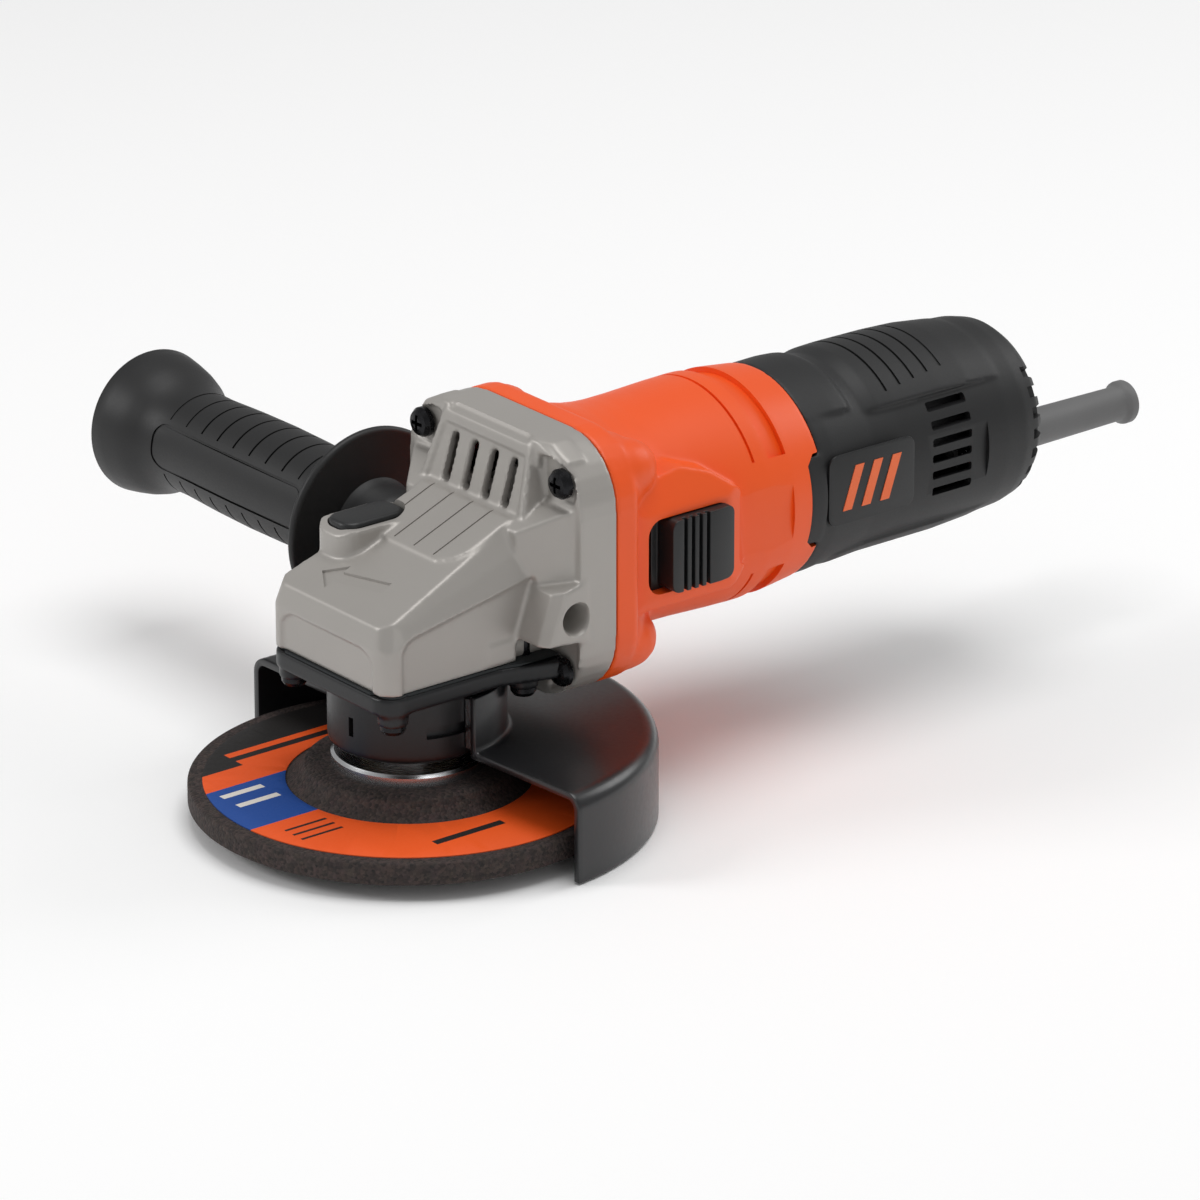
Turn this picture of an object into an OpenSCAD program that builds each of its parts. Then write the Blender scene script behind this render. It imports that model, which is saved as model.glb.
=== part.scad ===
// Corded angle grinder with a depressed-centre wheel, guard and side handle.
// +Z runs up the spindle, +Y runs back along the motor, the side handle is on -X.
// The origin is the middle of the face that the wheel is clamped against.

/* [Wheel] */
// Outer diameter of the grinding wheel
wheel_d = 115; // [100:1:125]
// Thickness of the wheel
wheel_t = 6; // [3:0.5:7]
// Diameter of the hole in the wheel
wheel_bore_d = 22.2; // [20:0.1:23]
// How far the wheel's rim lies below its hub
hub_drop = 5.2; // [3:0.1:6]
// Outer diameter of the printed label
label_d = 107.4; // [90:0.2:112]
// Inner diameter of the printed label
label_hole_d = 64; // [60:0.5:70]

/* [Spindle] */
// Diameter of the spindle's threaded end
spindle_d = 14; // [12:0.5:16]
// Diameter of the backing flange and of the clamp nut
flange_d = 40.8; // [36:0.2:44]
// Thickness of the backing flange
flange_t = 3.2; // [2:0.1:4.5]
// Thickness of the clamp nut
nut_t = 6; // [5:0.5:8]
// Length of spindle left free below the nut
tip_free = 3; // [2:0.5:6]
// Outer diameter of the spindle bearing
spindle_bearing_d = 32; // [28:0.5:34]
// Bore of the spindle bearing
spindle_bearing_bore = 12; // [10:0.5:14]
// Width of the spindle bearing
spindle_bearing_w = 10; // [8:0.5:11]

/* [Gears] */
// Teeth on the ring gear
ring_teeth = 38; // [36:1:39]
// Teeth on the pinion
pinion_teeth = 10; // [9:1:12]
// Size of a tooth: pitch diameter divided by the number of teeth
tooth_module = 1.05; // [0.9:0.05:1.1]
// Width of the toothed face
face_w = 5; // [4:0.5:6]

/* [Gear case] */
// Width across the nose of the gear case
nose_w = 51; // [50:0.5:56]
// Distance from the spindle to the front of the gear case
nose_front = 26.5; // [25.5:0.5:30]
// Height of the joint between the gear case and its cover
case_bottom = 30.5; // [29:0.5:31.5]
// Height of the motor's axis
motor_z = 52; // [51:0.5:54]
// Width of the square flange behind the gear case
rear_flange_w = 72; // [70:0.5:78]
// Height of the square flange behind the gear case
rear_flange_h = 70; // [69:0.5:76]
// Distance from the spindle to the front of the rear flange
rear_flange_y = 28; // [27:0.5:30]
// Thickness of the rear flange
rear_flange_t = 12; // [11:0.5:14]
// Sideways distance from the motor axis to a gear case screw
case_screw_x = 29; // [27:0.5:31]
// Upward distance from the motor axis to a gear case screw
case_screw_z = 25.7; // [25:0.1:27.5]
// Diameter of the neck that carries the guard
neck_d = 42.4; // [41:0.2:43]
// Height of the bottom of the neck
neck_bottom = 6.5; // [5.5:0.1:7.5]
// Thickness of the gear cover's plate
cover_t = 5.5; // [4.5:0.5:6]

/* [Guard] */
// Outer radius of the guard
guard_r = 64.4; // [62:0.2:70]
// Thickness of the guard's sheet
guard_t = 2; // [1.5:0.1:2.5]
// Height of the guard's flat top
guard_top = 8.8; // [8.2:0.1:9.5]
// Height of the guard's lower edge
guard_bottom = -15.2; // [-18:0.2:-12]
// Angle that the guard wraps round the wheel
guard_wrap = 178; // [150:1:190]
// Height of the top of the guard's collar
collar_top = 23.8; // [20:0.2:24.2]

/* [Motor housing] */
// Outer diameter of the motor housing at its waist
motor_d = 62; // [60:0.5:66]
// Wall of the motor housing
motor_wall = 3.7; // [3.5:0.1:4]
// Distance from the spindle to the joint with the rear cover
seam_y = 115; // [114:0.5:120]
// Diameter of the rear cover at that joint
rear_d = 58; // [57:0.5:61]
// Diameter of the rear cover's grip
rear_grip_d = 54.5; // [53:0.5:58]
// Distance from the spindle to the rear end
rear_end_y = 197; // [192:1:215]
// Wall of the rear cover
rear_wall = 2.4; // [2:0.1:2.6]

/* [Motor] */
// Outer diameter of the armature's core
core_d = 34.6; // [30:0.2:35]
// Length of the core
core_len = 40; // [36:1:42]
// Gap between the armature and the stator
air_gap = 0.5; // [0.4:0.1:0.8]
// Diameter of the commutator
commutator_d = 21; // [18:0.5:22]
// Diameter of the armature shaft
shaft_d = 8; // [7:0.5:9]
// Outer diameter of the front bearing
front_bearing_d = 22; // [21:0.5:24]
// Outer diameter of the rear bearing
rear_bearing_d = 19; // [18:0.5:20]
// Diameter of the fan
fan_d = 52; // [46:1:56]

/* [Switch] */
// Length of the slide button
button_l = 21; // [16:0.5:22]
// Height of the slide button
button_h = 20; // [16:0.5:21]
// Distance from the motor axis to the button's outer face
button_x = 36.5; // [35:0.1:38]
// Travel of the slide button
switch_travel = 5; // [4:0.5:5.5]

/* [Spindle lock] */
// Length of the lock button
lock_l = 20; // [16:0.5:22]
// Width of the lock button
lock_w = 11; // [9:0.5:12]
// Sideways place of the lock button
lock_x = -17.5; // [-18:0.5:-17]
// Travel of the lock button
lock_travel = 3; // [2.5:0.1:3.2]
// Diameter of the lock pin
lock_pin_d = 3.4; // [2.8:0.1:3.6]

/* [Side handle] */
// Diameter of the handle's stud
stud_d = 7.8; // [7:0.1:9]
// Depth of the threaded hole for the handle
handle_hole_l = 14; // [12:0.5:15]
// Distance back from the spindle to the handle's axis
handle_y = 26.5; // [26:0.5:28]
// Height of the handle's axis
handle_z = 43; // [42:0.5:44]
// Distance from the spindle to the outer face of a handle boss
boss_x = 36.4; // [36.2:0.2:38]
// Diameter of the grip
grip_d = 28.4; // [26:0.2:32]
// Diameter of the hand stop beside the grip
hand_stop_d = 53.2; // [46:0.2:58]
// Distance from the spindle to the hand stop
hand_stop_x = 50.5; // [48:0.5:56]
// Length from the hand stop to the end of the handle
grip_l = 102; // [90:1:115]
// Diameter of the swelling at the handle's end
bell_d = 40.5; // [36:0.5:46]

/* [Cord outlet] */
// Height of the cord's axis
cord_z = 41.3; // [40:0.1:43]
// Diameter of the bore for the cord
cord_bore_d = 7.2; // [6:0.1:7.6]
// Length of the strain relief outside the rear cover
boot_l = 50; // [40:1:60]

/* [Hidden] */
$fn = 64;

cast = "#9c9893";
orange = "#f4662b";
black = "#363636";
steel = "#b8b9bb";
dark_steel = "#4a4a4c";

gap = 0.3;           // between pieces that move past each other
fit = 0.05;          // between pieces that seat in each other
eps = 0.01;          // overrun of a cut
spindle_r = spindle_d / 2;
wheel_r = wheel_d / 2;
flange_r = flange_d / 2;
rim_top = -hub_drop;
rim_bottom = -hub_drop - wheel_t;
nut_top = -wheel_t;
nut_bottom = nut_top - nut_t;
tip_z = nut_bottom - tip_free;
tip_r = spindle_r - 0.8;
neck_r = neck_d / 2;
cover_bottom = case_bottom - cover_t;

ratio = ring_teeth / pinion_teeth;
ring_r = ring_teeth * tooth_module / 2;
pinion_r = pinion_teeth * tooth_module / 2;
ring_outer = ring_r + 0.25;
ring_inner = ring_outer - face_w;
addendum = 0.55 * tooth_module;
dedendum = 0.95 * tooth_module;
tooth_w = 0.34 * 2 * PI * ring_inner / ring_teeth;
tooth_out = ring_outer - 0.15;
tooth_in = ring_inner + 0.15;
web_top = motor_z - 8.5;
web_bottom = web_top - 3.5;
chamber_r = ring_outer + 1.1;
chamber_top = motor_z + 1;
lock_pin_x = -(ring_inner - 2.4);
lock_pin_r = lock_pin_d / 2;
lock_hole_r = lock_pin_r + 0.35;

bearing_z = neck_bottom + 6;
spindle_bearing_r = spindle_bearing_d / 2;
journal_r = spindle_bearing_bore / 2;
gear_seat_r = journal_r - 0.5;
top_journal_r = 4;
top_bush_r = 6;
roof_z = motor_z + 6.7;
cover_screw_at = 21;

flange_back = rear_flange_y + rear_flange_t;
motor_r = motor_d / 2;
motor_inner_r = motor_r - motor_wall;
shaft_r = shaft_d / 2;
pinion_seat_r = 2.15;
front_bearing_r = front_bearing_d / 2;
front_bearing_y = rear_flange_y + 2 - fit;
front_bearing_w = 7;
rear_bearing_r = rear_bearing_d / 2;
rear_bearing_w = 6;
rear_bearing_y = seam_y + 24;
rear_journal_r = shaft_r - 0.5;
core_r = core_d / 2;
core_y = seam_y - 53;
core_end = core_y + core_len;
stator_r = motor_inner_r - fit;
stator_flat = stator_r - 2.65;
winding_l = 7;
fan_y = flange_back + 4;
fan_w = 10;
commutator_r = commutator_d / 2;
commutator_y = seam_y + 3;
commutator_l = 16;
plate_r = rear_d / 2 - rear_wall - 0.6;
brush_y = seam_y + 11.5;
grip_r = rear_grip_d / 2;
tail_r = grip_r - 1.85;
tab_l = 5;
tab_z = 13;

rod_x = stator_flat + 0.5;
rod_t = 1.6;
rod_h = 5;
rod_rear_x = commutator_r + 8.5;
button_y = flange_back + 18;
pad_x = motor_r + 2;
bay_x = pad_x - 3;
slide_x = bay_x - 1.6;

lock_boss_top = motor_z + 9.5;
lock_floor = chamber_top + 2.5;
lock_top = lock_boss_top + 1.1;
lock_bottom = lock_floor + lock_travel + gap;

hole_r = stud_d / 2 + 0.1;
boss_r = 9;
handle_start = boss_x + 0.6;
stop_t = 2.5;
handle_end = hand_stop_x + grip_l;

boot_r = 5.15;
boot_end_r = 6;
boot_y = rear_end_y + 0.2;
post_a = [-16, 60 - 52];
post_b = [14, -11.5];

// A cylinder along Y between two distances, on or beside the motor axis
module y_rod(r, y0, y1, x = 0, z = motor_z)
    translate([x, y0, z]) rotate([-90, 0, 0]) cylinder(r = r, h = y1 - y0);

// A body of revolution about the motor axis, from [radius, y] points
module y_turned(points, x = 0, z = motor_z)
    translate([x, 0, z]) rotate([-90, 0, 0]) rotate_extrude() polygon(points);

// A cylinder along X on the handle's axis
module x_rod(r, x0, x1)
    translate([x0, handle_y, handle_z]) rotate([0, 90, 0]) cylinder(r = r, h = x1 - x0);

// A ring along Y
module y_ring(r_out, r_in, y0, y1)
    y_turned([[r_in, y0], [r_out, y0], [r_out, y1], [r_in, y1]]);

// A ring along Z
module z_ring(r_out, r_in, z0, z1)
    rotate_extrude() polygon([[r_in, z0], [r_out, z0], [r_out, z1], [r_in, z1]]);

// A flat rectangle with round corners
module round_rect(w, h, r) {
    square([w - 2 * r, h], center = true);
    square([w, h - 2 * r], center = true);
    for (sx = [-1, 1], sy = [-1, 1]) translate([sx * (w / 2 - r), sy * (h / 2 - r)]) circle(r);
}

// A rounded block that faces along Y, centred on the motor axis
module y_block(w, h, r, y0, y1)
    translate([0, y1, motor_z]) rotate([90, 0, 0]) linear_extrude(y1 - y0) round_rect(w, h, r);

// A block between two corners
module block(low, high) translate(low) cube(high - low);

// A pan-head screw that points down -Z, with its seat at z = 0
module screw(head_r, head_h, shank_r, length) {
    difference() {
        rotate_extrude() polygon([[0, -length], [shank_r - 0.4, -length], [shank_r, -length + 0.8],
            [shank_r, 0], [head_r, 0], [head_r, head_h * 0.45], [head_r * 0.8, head_h * 0.85],
            [head_r * 0.4, head_h], [0, head_h]]);
        for (a = [0, 90]) rotate([0, 0, a])
            translate([-head_r * 0.55, -0.5, head_h * 0.45]) cube([head_r * 1.1, 1, head_h]);
    }
}

// The four corners where the gear case screws sit
module at_case_screws()
    for (sx = [-1, 1], sz = [-1, 1])
        translate([sx * case_screw_x, rear_flange_y, motor_z + sz * case_screw_z]) children();

// Room for the heads of the gear case screws
module case_screw_room() at_case_screws() rotate([90, 0, 0]) cylinder(r = 4.4, h = 12);

// The four corners where the cover screws sit
module at_cover_screws()
    for (sx = [-1, 1], sy = [-1, 1]) translate([sx * cover_screw_at, sy * cover_screw_at, 0]) children();

// Outline of the gear case and its cover, seen from above
module nose_plan(in = 0) {
    half = nose_w / 2 - in;
    front = -nose_front + in;
    polygon([[-half + 7, front], [half - 7, front], [half, front + 7], [half, 10], [half + 5, rear_flange_y],
        [-half - 5, rear_flange_y], [-half, 10], [-half, front + 7]]);
    for (sx = [-1, 1], y = [-cover_screw_at, cover_screw_at])
        translate([sx * cover_screw_at, y]) circle(nose_w / 2 - cover_screw_at - in);
}

// Outline of the gear case, seen from the side as [y, z]
module case_side()
    polygon([[-nose_front - 1, case_bottom], [-nose_front - 1, motor_z - 10], [-nose_front + 1.5, motor_z - 3.5],
        [20, motor_z + 14.4], [rear_flange_y - 2.5, motor_z + 32],
        [rear_flange_y + 1, motor_z + 32], [rear_flange_y + 1, case_bottom]]);

// Outline of the gear case, seen from the front as [x, z]
module case_front() {
    half = nose_w / 2 + 6;
    polygon([[-half, case_bottom], [half, case_bottom], [half, motor_z - 5], [nose_w / 2 - 2, motor_z + 1],
        [nose_w / 2 - 6, motor_z + 32], [-nose_w / 2 + 6, motor_z + 32], [-nose_w / 2 + 2, motor_z + 1],
        [-half, motor_z - 5]]);
}

// A stadium outline, long along Y
module stadium(l, w) {
    square([w, l - w], center = true);
    for (s = [-1, 1]) translate([0, s * (l - w) / 2]) circle(w / 2);
}

module gear_case() color(cast) difference() {
    union() {
        intersection() {
            translate([0, 0, case_bottom]) linear_extrude(60) nose_plan();
            rotate([90, 0, 90]) translate([0, 0, -50]) linear_extrude(100) case_side();
            rotate([90, 0, 0]) translate([0, 0, -50]) linear_extrude(100) case_front();
        }
        translate([lock_x, 0, motor_z - 3]) linear_extrude(lock_boss_top - motor_z + 3)
            stadium(lock_l + 5, lock_w + 4.4);
        y_block(rear_flange_w, rear_flange_h, 18, rear_flange_y, flange_back);
        for (s = [-1, 1]) x_rod(boss_r, s > 0 ? 18 : -boss_x, s > 0 ? boss_x : -18);
        for (s = [-1, 1]) translate([s * (case_screw_x - 8), rear_flange_y - 3, motor_z + case_screw_z + 3])
            cube([7, 8, 5.5], center = true);
    }
    // gear chamber, pinion tunnel and bearing seat
    rotate_extrude() polygon([[0, case_bottom - eps], [chamber_r, case_bottom - eps],
        [chamber_r, ring_pitch_z(ring_outer) + addendum + 0.6], [ring_inner, chamber_top - 2.6],
        [9, chamber_top], [0, chamber_top]]);
    translate([lock_pin_x, 0, web_top]) cylinder(r = lock_pin_r + 1.9, h = chamber_top - web_top);
    y_rod(8, 8, rear_flange_y);
    y_rod(front_bearing_r + 2, rear_flange_y - 1, flange_back + 1);
    y_rod(motor_inner_r + 1.7, rear_flange_y + 5, flange_back + 1);
    // air chamber behind the vent wall, and its four slots
    rotate([90, 0, 90]) translate([0, 0, -17]) linear_extrude(34)
        polygon([[23.6, motor_z + 15.5], [rear_flange_y - 0.2, motor_z + 29.2],
            [rear_flange_y + 6, motor_z + 29.2], [rear_flange_y + 6, motor_z + 15.5]]);
    for (i = [-1.5:1:1.5]) translate([i * 8.2, 22.5, motor_z + 21]) rotate([-18, 0, 0])
        cube([3, 12, 13], center = true);
    // seat of the top bush
    translate([0, 0, chamber_top - 1]) cylinder(r = top_bush_r + fit, h = 4.5);
    // lock button well and its pin hole
    translate([lock_x, 0, lock_floor]) linear_extrude(20) stadium(lock_l + 0.8, lock_w + 0.8);
    translate([lock_pin_x, 0, 40]) cylinder(r = lock_pin_r + 0.08, h = 30);
    // threaded holes for the side handle
    x_rod(hole_r, boss_x - handle_hole_l, boss_x + 1);
    x_rod(hole_r, -boss_x - 1, -boss_x + handle_hole_l);
    // screw holes
    at_case_screws() rotate([-90, 0, 0]) translate([0, 0, -4]) cylinder(r = 2.2, h = rear_flange_t + 5);
    case_screw_room();
    at_cover_screws() translate([0, 0, case_bottom - eps]) cylinder(r = 1.8, h = 12);
}

module gear_cover() color(black) difference() {
    union() {
        translate([0, 0, cover_bottom]) linear_extrude(cover_t - 0.6) nose_plan();
        translate([0, 0, neck_bottom]) cylinder(r = neck_r, h = cover_bottom - neck_bottom + 1);
        at_cover_screws() translate([0, 0, cover_bottom - 3.5]) cylinder(r = 3.9, h = 5);
    }
    // spindle passage, bearing seat and clearance under the ring gear
    translate([0, 0, neck_bottom - 1]) cylinder(r = journal_r + 4, h = 30);
    translate([0, 0, bearing_z]) cylinder(r = spindle_bearing_r + fit, h = 30);
    translate([0, 0, neck_bottom - 1]) cylinder(r = journal_r + 7, h = 3.5);
    // groove in which the guard's band turns, open only at the back
    rotate([0, 0, -25]) rotate_extrude(angle = 230)
        polygon([[neck_r - 1.6, 13.4], [neck_r + 1, 13.4], [neck_r + 1, 16.6], [neck_r - 1.6, 16.6]]);
    at_cover_screws() translate([0, 0, cover_bottom - 5]) cylinder(r = 2.1, h = 12);
    case_screw_room();
}

module cover_gasket() color("#23282a") difference() {
    translate([0, 0, case_bottom - 0.6]) linear_extrude(0.6) nose_plan(0.4);
    translate([0, 0, case_bottom - 2]) cylinder(r = chamber_r - 1, h = 4);
    at_cover_screws() translate([0, 0, case_bottom - 2]) cylinder(r = 2.1, h = 4);
    case_screw_room();
}

module cover_screws() color(dark_steel) at_cover_screws()
    translate([0, 0, cover_bottom - 3.5]) rotate([180, 0, 0]) screw(3.4, 2.6, 1.75, 18);

module gear_case_screws() color(dark_steel) at_case_screws()
    rotate([90, 0, 0]) screw(4, 3, 2, rear_flange_t + 14);

module top_bush() color("#b08d4a") z_ring(top_bush_r, top_journal_r + 0.06, motor_z - 3, chamber_top + 3);

// A bearing's outer ring and its inner ring with balls, along Z from z = 0
module race_outer(r_out, w) z_ring(r_out, r_out - 2, 0, w);
module race_inner(r_out, r_in, w) {
    ball_r = (r_out - r_in - 3.6) / 2 - 0.15;
    z_ring(r_in + 1.6, r_in, 0, w);
    for (a = [0:45:315]) rotate([0, 0, a]) translate([r_in + 1.6 + ball_r - 0.1, 0, w / 2])
        sphere(r = ball_r, $fn = 32);
}
module on_motor(y) translate([0, y, motor_z]) rotate([-90, 0, 0]) children();

module spindle_bearing_outer() color(steel)
    translate([0, 0, bearing_z]) race_outer(spindle_bearing_r, spindle_bearing_w);
module bearing_retainer() color(steel) difference() {
    z_ring(spindle_bearing_r, spindle_bearing_r - 4, bearing_z + spindle_bearing_w,
        bearing_z + spindle_bearing_w + 2);
    for (a = [0, 180]) rotate([0, 0, a]) translate([spindle_bearing_r - 2, 0, 0])
        cylinder(r = 0.8, h = 60);
}
module dust_ring() color("#8a7f6a")
    z_ring(journal_r + 7 - fit, journal_r + 3 + gap, neck_bottom, neck_bottom + 2.4);

module bearing_plate() color(cast) difference() {
    union() {
        y_ring(front_bearing_r + 2 - fit, front_bearing_r + fit, rear_flange_y - 1, flange_back - 3);
        y_ring(front_bearing_r + 8, front_bearing_r - 2, flange_back - 3, flange_back - 1);
    }
    for (s = [-1, 1]) y_rod(1.6, flange_back - 4, flange_back, x = s * (front_bearing_r + 5));
}
module bearing_plate_screws() color(steel) for (s = [-1, 1])
    translate([s * (front_bearing_r + 5), flange_back - 1, motor_z]) rotate([-90, 0, 0])
        screw(2.8, 1.8, 1.5, 1.9);
module front_bearing_outer() color(steel)
    on_motor(front_bearing_y) race_outer(front_bearing_r, front_bearing_w);
module air_baffle() color(black)
    y_turned([[fan_d / 2 - 8, fan_y - 2.6], [motor_inner_r + 1.6, fan_y - 3.4],
        [motor_inner_r + 1.6, fan_y - 2.2], [fan_d / 2 - 8, fan_y - 1.2]]);

module motor_housing() color(orange) difference() {
    union() {
        y_block(rear_flange_w, rear_flange_h, 18, flange_back, flange_back + 9);
        hull() {
            y_block(rear_flange_w, rear_flange_h, 18, flange_back + 8.9, flange_back + 9, $fn = 32);
            y_rod(motor_r, flange_back + 19.9, flange_back + 20, $fn = 32);
        }
        y_turned([[0, flange_back + 19], [motor_r, flange_back + 19], [motor_r, seam_y - 16],
            [rear_d / 2 + 0.4, seam_y], [0, seam_y]]);
        translate([16, button_y + 11, motor_z]) rotate([90, 0, 90]) linear_extrude(pad_x - 16)
            round_rect(button_l + 22, button_h + 12, 5);
    }
    y_rod(motor_inner_r + 1.7, flange_back - 1, flange_back + 15);
    y_rod(motor_inner_r, flange_back - 1, seam_y + 1);
    // bay in which the switch slide runs, and its window
    block([rod_x - 0.5, button_y - switch_travel - 2.5, motor_z - button_h / 2 - 3.2],
        [bay_x, button_y + button_l + 8, motor_z + button_h / 2 + 3.2]);
    block([bay_x - 1, button_y - switch_travel - 0.5, motor_z - button_h / 2 - 0.5],
        [pad_x + 5, button_y + button_l + 0.5, motor_z + button_h / 2 + 0.5]);
    // steps at both sides that take the rear cover's tabs
    for (s = [-1, 1]) block([s > 0 ? 15 : -40, seam_y - tab_l, motor_z - tab_z - 0.1],
        [s > 0 ? 40 : -15, seam_y + 1, motor_z + tab_z + 0.1]);
    at_case_screws() rotate([-90, 0, 0]) cylinder(r = 2 + fit, h = rear_flange_t + 15);
}

// Four bars beside the motor axis, which fill or cut the stator's windows
module coil_bars(grow, y0, y1) translate([0, y0, motor_z]) rotate([-90, 0, 0]) for (a = [28, 152, 208, 332])
    rotate([0, 0, a - 7 - grow]) rotate_extrude(angle = 14 + 2 * grow)
        polygon([[core_r + 2.4 - grow * 0.3, 0], [core_r + 5.6 + grow * 0.3, 0],
            [core_r + 5.6 + grow * 0.3, y1 - y0], [core_r + 2.4 - grow * 0.3, y1 - y0]]);
module stator_core() color("#77787a") difference() {
    intersection() {
        y_rod(stator_r, core_y, core_end);
        block([-stator_flat, core_y - 1, motor_z - 40], [stator_flat, core_end + 1, motor_z + 40]);
    }
    y_rod(core_r + air_gap, core_y - 1, core_end + 1);
    coil_bars(1, core_y - 1, core_end + 1);
}
module stator_coils() color("#a0522d") {
    coil_bars(0, core_y - 2, core_end + 2);
    for (y = [core_y - winding_l, core_end], a = [19, 199]) translate([0, y, motor_z]) rotate([-90, 0, 0])
        rotate([0, 0, a]) rotate_extrude(angle = 142)
            polygon([[core_r + 2, 0], [core_r + 6, 0], [core_r + 7, winding_l / 2], [core_r + 6, winding_l],
                [core_r + 2, winding_l]]);
}

module brush_plate() color(black) difference() {
    union() {
        y_ring(plate_r, commutator_r + 2, seam_y + 1, seam_y + 4);
        for (s = [-1, 1]) block([-4.6, seam_y + 3.5, s > 0 ? motor_z + commutator_r + 1.5 : motor_z - plate_r + 1],
            [4.6, seam_y + 17.5, s > 0 ? motor_z + plate_r - 1 : motor_z - commutator_r - 1.5]);
        y_ring(rear_bearing_r + 4, rear_bearing_r + 2 + fit, rear_bearing_y - 1, rear_bearing_y + 8);
        y_ring(rear_bearing_r + 4, rear_bearing_r - 2, rear_bearing_y + 6.4, rear_bearing_y + 8);
        for (a = [60, 120, 240, 300]) rotate_about_motor(a)
            block([commutator_r + 2.2, seam_y + 3.5, -1.5], [commutator_r + 6, rear_bearing_y + 1, 1.5]);
        for (a = [60, 120, 240, 300]) rotate_about_motor(a)
            block([rear_bearing_r + 3, rear_bearing_y - 3, -1.5], [commutator_r + 6, rear_bearing_y + 1, 1.5]);
        for (p = [post_a, post_b]) y_rod(3.2, seam_y + 3, seam_y + 42, p[0], motor_z + p[1]);
    }
    for (s = [-1, 1]) block([-3.1, brush_y - 4.6, s > 0 ? motor_z : motor_z - 40],
        [3.1, brush_y + 4.6, s > 0 ? motor_z + 40 : motor_z]);
    block([rod_rear_x - 1.5, seam_y, motor_z - rod_h / 2 - 1.2],
        [plate_r + 2, seam_y + 5, motor_z + rod_h / 2 + 1.2]);
    for (p = [post_a, post_b]) y_rod(1.5 + fit, seam_y + 20, seam_y + 43, p[0], motor_z + p[1]);
}
module rotate_about_motor(a) translate([0, 0, motor_z]) rotate([0, -a, 0]) children();

module carbon_brushes() color("#3b3b3d") for (s = [-1, 1])
    block([-3, brush_y - 4.5, s > 0 ? motor_z + commutator_r + gap : motor_z - commutator_r - 9],
        [3, brush_y + 4.5, s > 0 ? motor_z + commutator_r + 9 : motor_z - commutator_r - gap]);
module brush_springs() color(steel) for (s = [-1, 1]) translate([0, brush_y, motor_z + s * (commutator_r + 9)])
    mirror([0, 0, s > 0 ? 0 : 1]) {
        z_ring(2.6, 1.8, 0, plate_r - commutator_r - 11.4);
        z_ring(2.9, 0.6, plate_r - commutator_r - 11.4, plate_r - commutator_r - 10.8);
    }

module rear_bearing_outer() color(steel) on_motor(rear_bearing_y) race_outer(rear_bearing_r, rear_bearing_w);
module rear_bearing_sleeve() color("#2a2a2a")
    y_ring(rear_bearing_r + 2, rear_bearing_r + fit, rear_bearing_y, rear_bearing_y + rear_bearing_w);

module rear_cover() color(black) difference() {
    union() {
        y_turned([[rear_d / 2 - rear_wall, seam_y], [rear_d / 2, seam_y], [rear_d / 2 - 0.6, seam_y + 10],
            [grip_r, seam_y + 25], [grip_r, rear_end_y - 27], [tail_r, rear_end_y - 10],
            [tail_r - 2.4, rear_end_y - 3], [tail_r - 7.4, rear_end_y], [0, rear_end_y], [0, rear_end_y - 3],
            [tail_r - 9.4, rear_end_y - 3], [tail_r - 4.9, rear_end_y - 5], [tail_r - rear_wall, rear_end_y - 11],
            [grip_r - rear_wall, rear_end_y - 27], [grip_r - rear_wall, seam_y + 25],
            [rear_d / 2 - 0.6 - rear_wall, seam_y + 10]]);
        // tabs that step forward into the motor housing
        for (s = [0, 180]) translate([0, seam_y - tab_l + 0.1, motor_z]) rotate([-90, s, 0])
            rotate([0, 0, -25]) rotate_extrude(angle = 50) polygon([[motor_inner_r + 0.1, 0],
                [rear_d / 2 + 0.5, 0], [rear_d / 2, tab_l], [motor_inner_r - 0.8, tab_l], [motor_inner_r - 0.8, 4.8],
                [motor_inner_r + 0.1, 4.8]]);
        // raised pad over the top of the grip
        translate([0, seam_y + 13, motor_z]) rotate([-90, 0, 0]) rotate([0, 0, -128]) rotate_extrude(angle = 76)
            polygon([[grip_r - 1, 0], [grip_r + 0.8, 0], [grip_r + 1.6, 6], [grip_r + 1.6, 42],
                [grip_r - 1, 50]]);
        for (p = [post_a, post_b]) y_rod(3.2, seam_y + 42.1, rear_end_y - 2, p[0], motor_z + p[1]);
        for (s = [-1, 1]) block([s * 7 - 2.6, rear_end_y - 18, motor_z - tail_r + 1],
            [s * 7 + 2.6, rear_end_y - 12.5, cord_z + 3.8]);
    }
    // cooling slots on both sides
    for (s = [0, 1], i = [-2:2]) mirror([s, 0, 0])
        block([15, rear_end_y - 41, motor_z + 3.4 + i * 5.3 - 1.2],
            [40, rear_end_y - 27, motor_z + 3.4 + i * 5.3 + 1.2]);
    // notches round the rear edge
    for (s = [0, 180], a = [-40:16:40]) translate([0, 0, motor_z]) rotate([0, a + s, 0])
        block([tail_r - 6, rear_end_y - 6, -2], [tail_r + 4, rear_end_y + 1, 2]);
    // recess for the badge plate
    block([rear_d / 2 - 1.2, seam_y + 1.5, motor_z + 1.5 - 10.2],
        [rear_d, seam_y + 31.5, motor_z + 1.5 + 10.2]);
    y_rod(6, rear_end_y - 10, rear_end_y + 1, 0, cord_z);
    for (p = [post_a, post_b]) {
        y_rod(1.7, seam_y + 41, rear_end_y + 1, p[0], motor_z + p[1]);
        y_rod(3, rear_end_y - 4, rear_end_y + 1, p[0], motor_z + p[1]);
    }
    for (s = [-1, 1]) translate([s * 7, rear_end_y - 15.2, cord_z - 8]) cylinder(r = 1.25, h = 13);
}
module rear_cover_screws() color(dark_steel) for (p = [post_a, post_b])
    translate([p[0], rear_end_y - 4, motor_z + p[1]]) rotate([-90, 0, 0])
        screw(2.8, 2.2, 1.5, rear_end_y - 4 - seam_y - 28);
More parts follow.
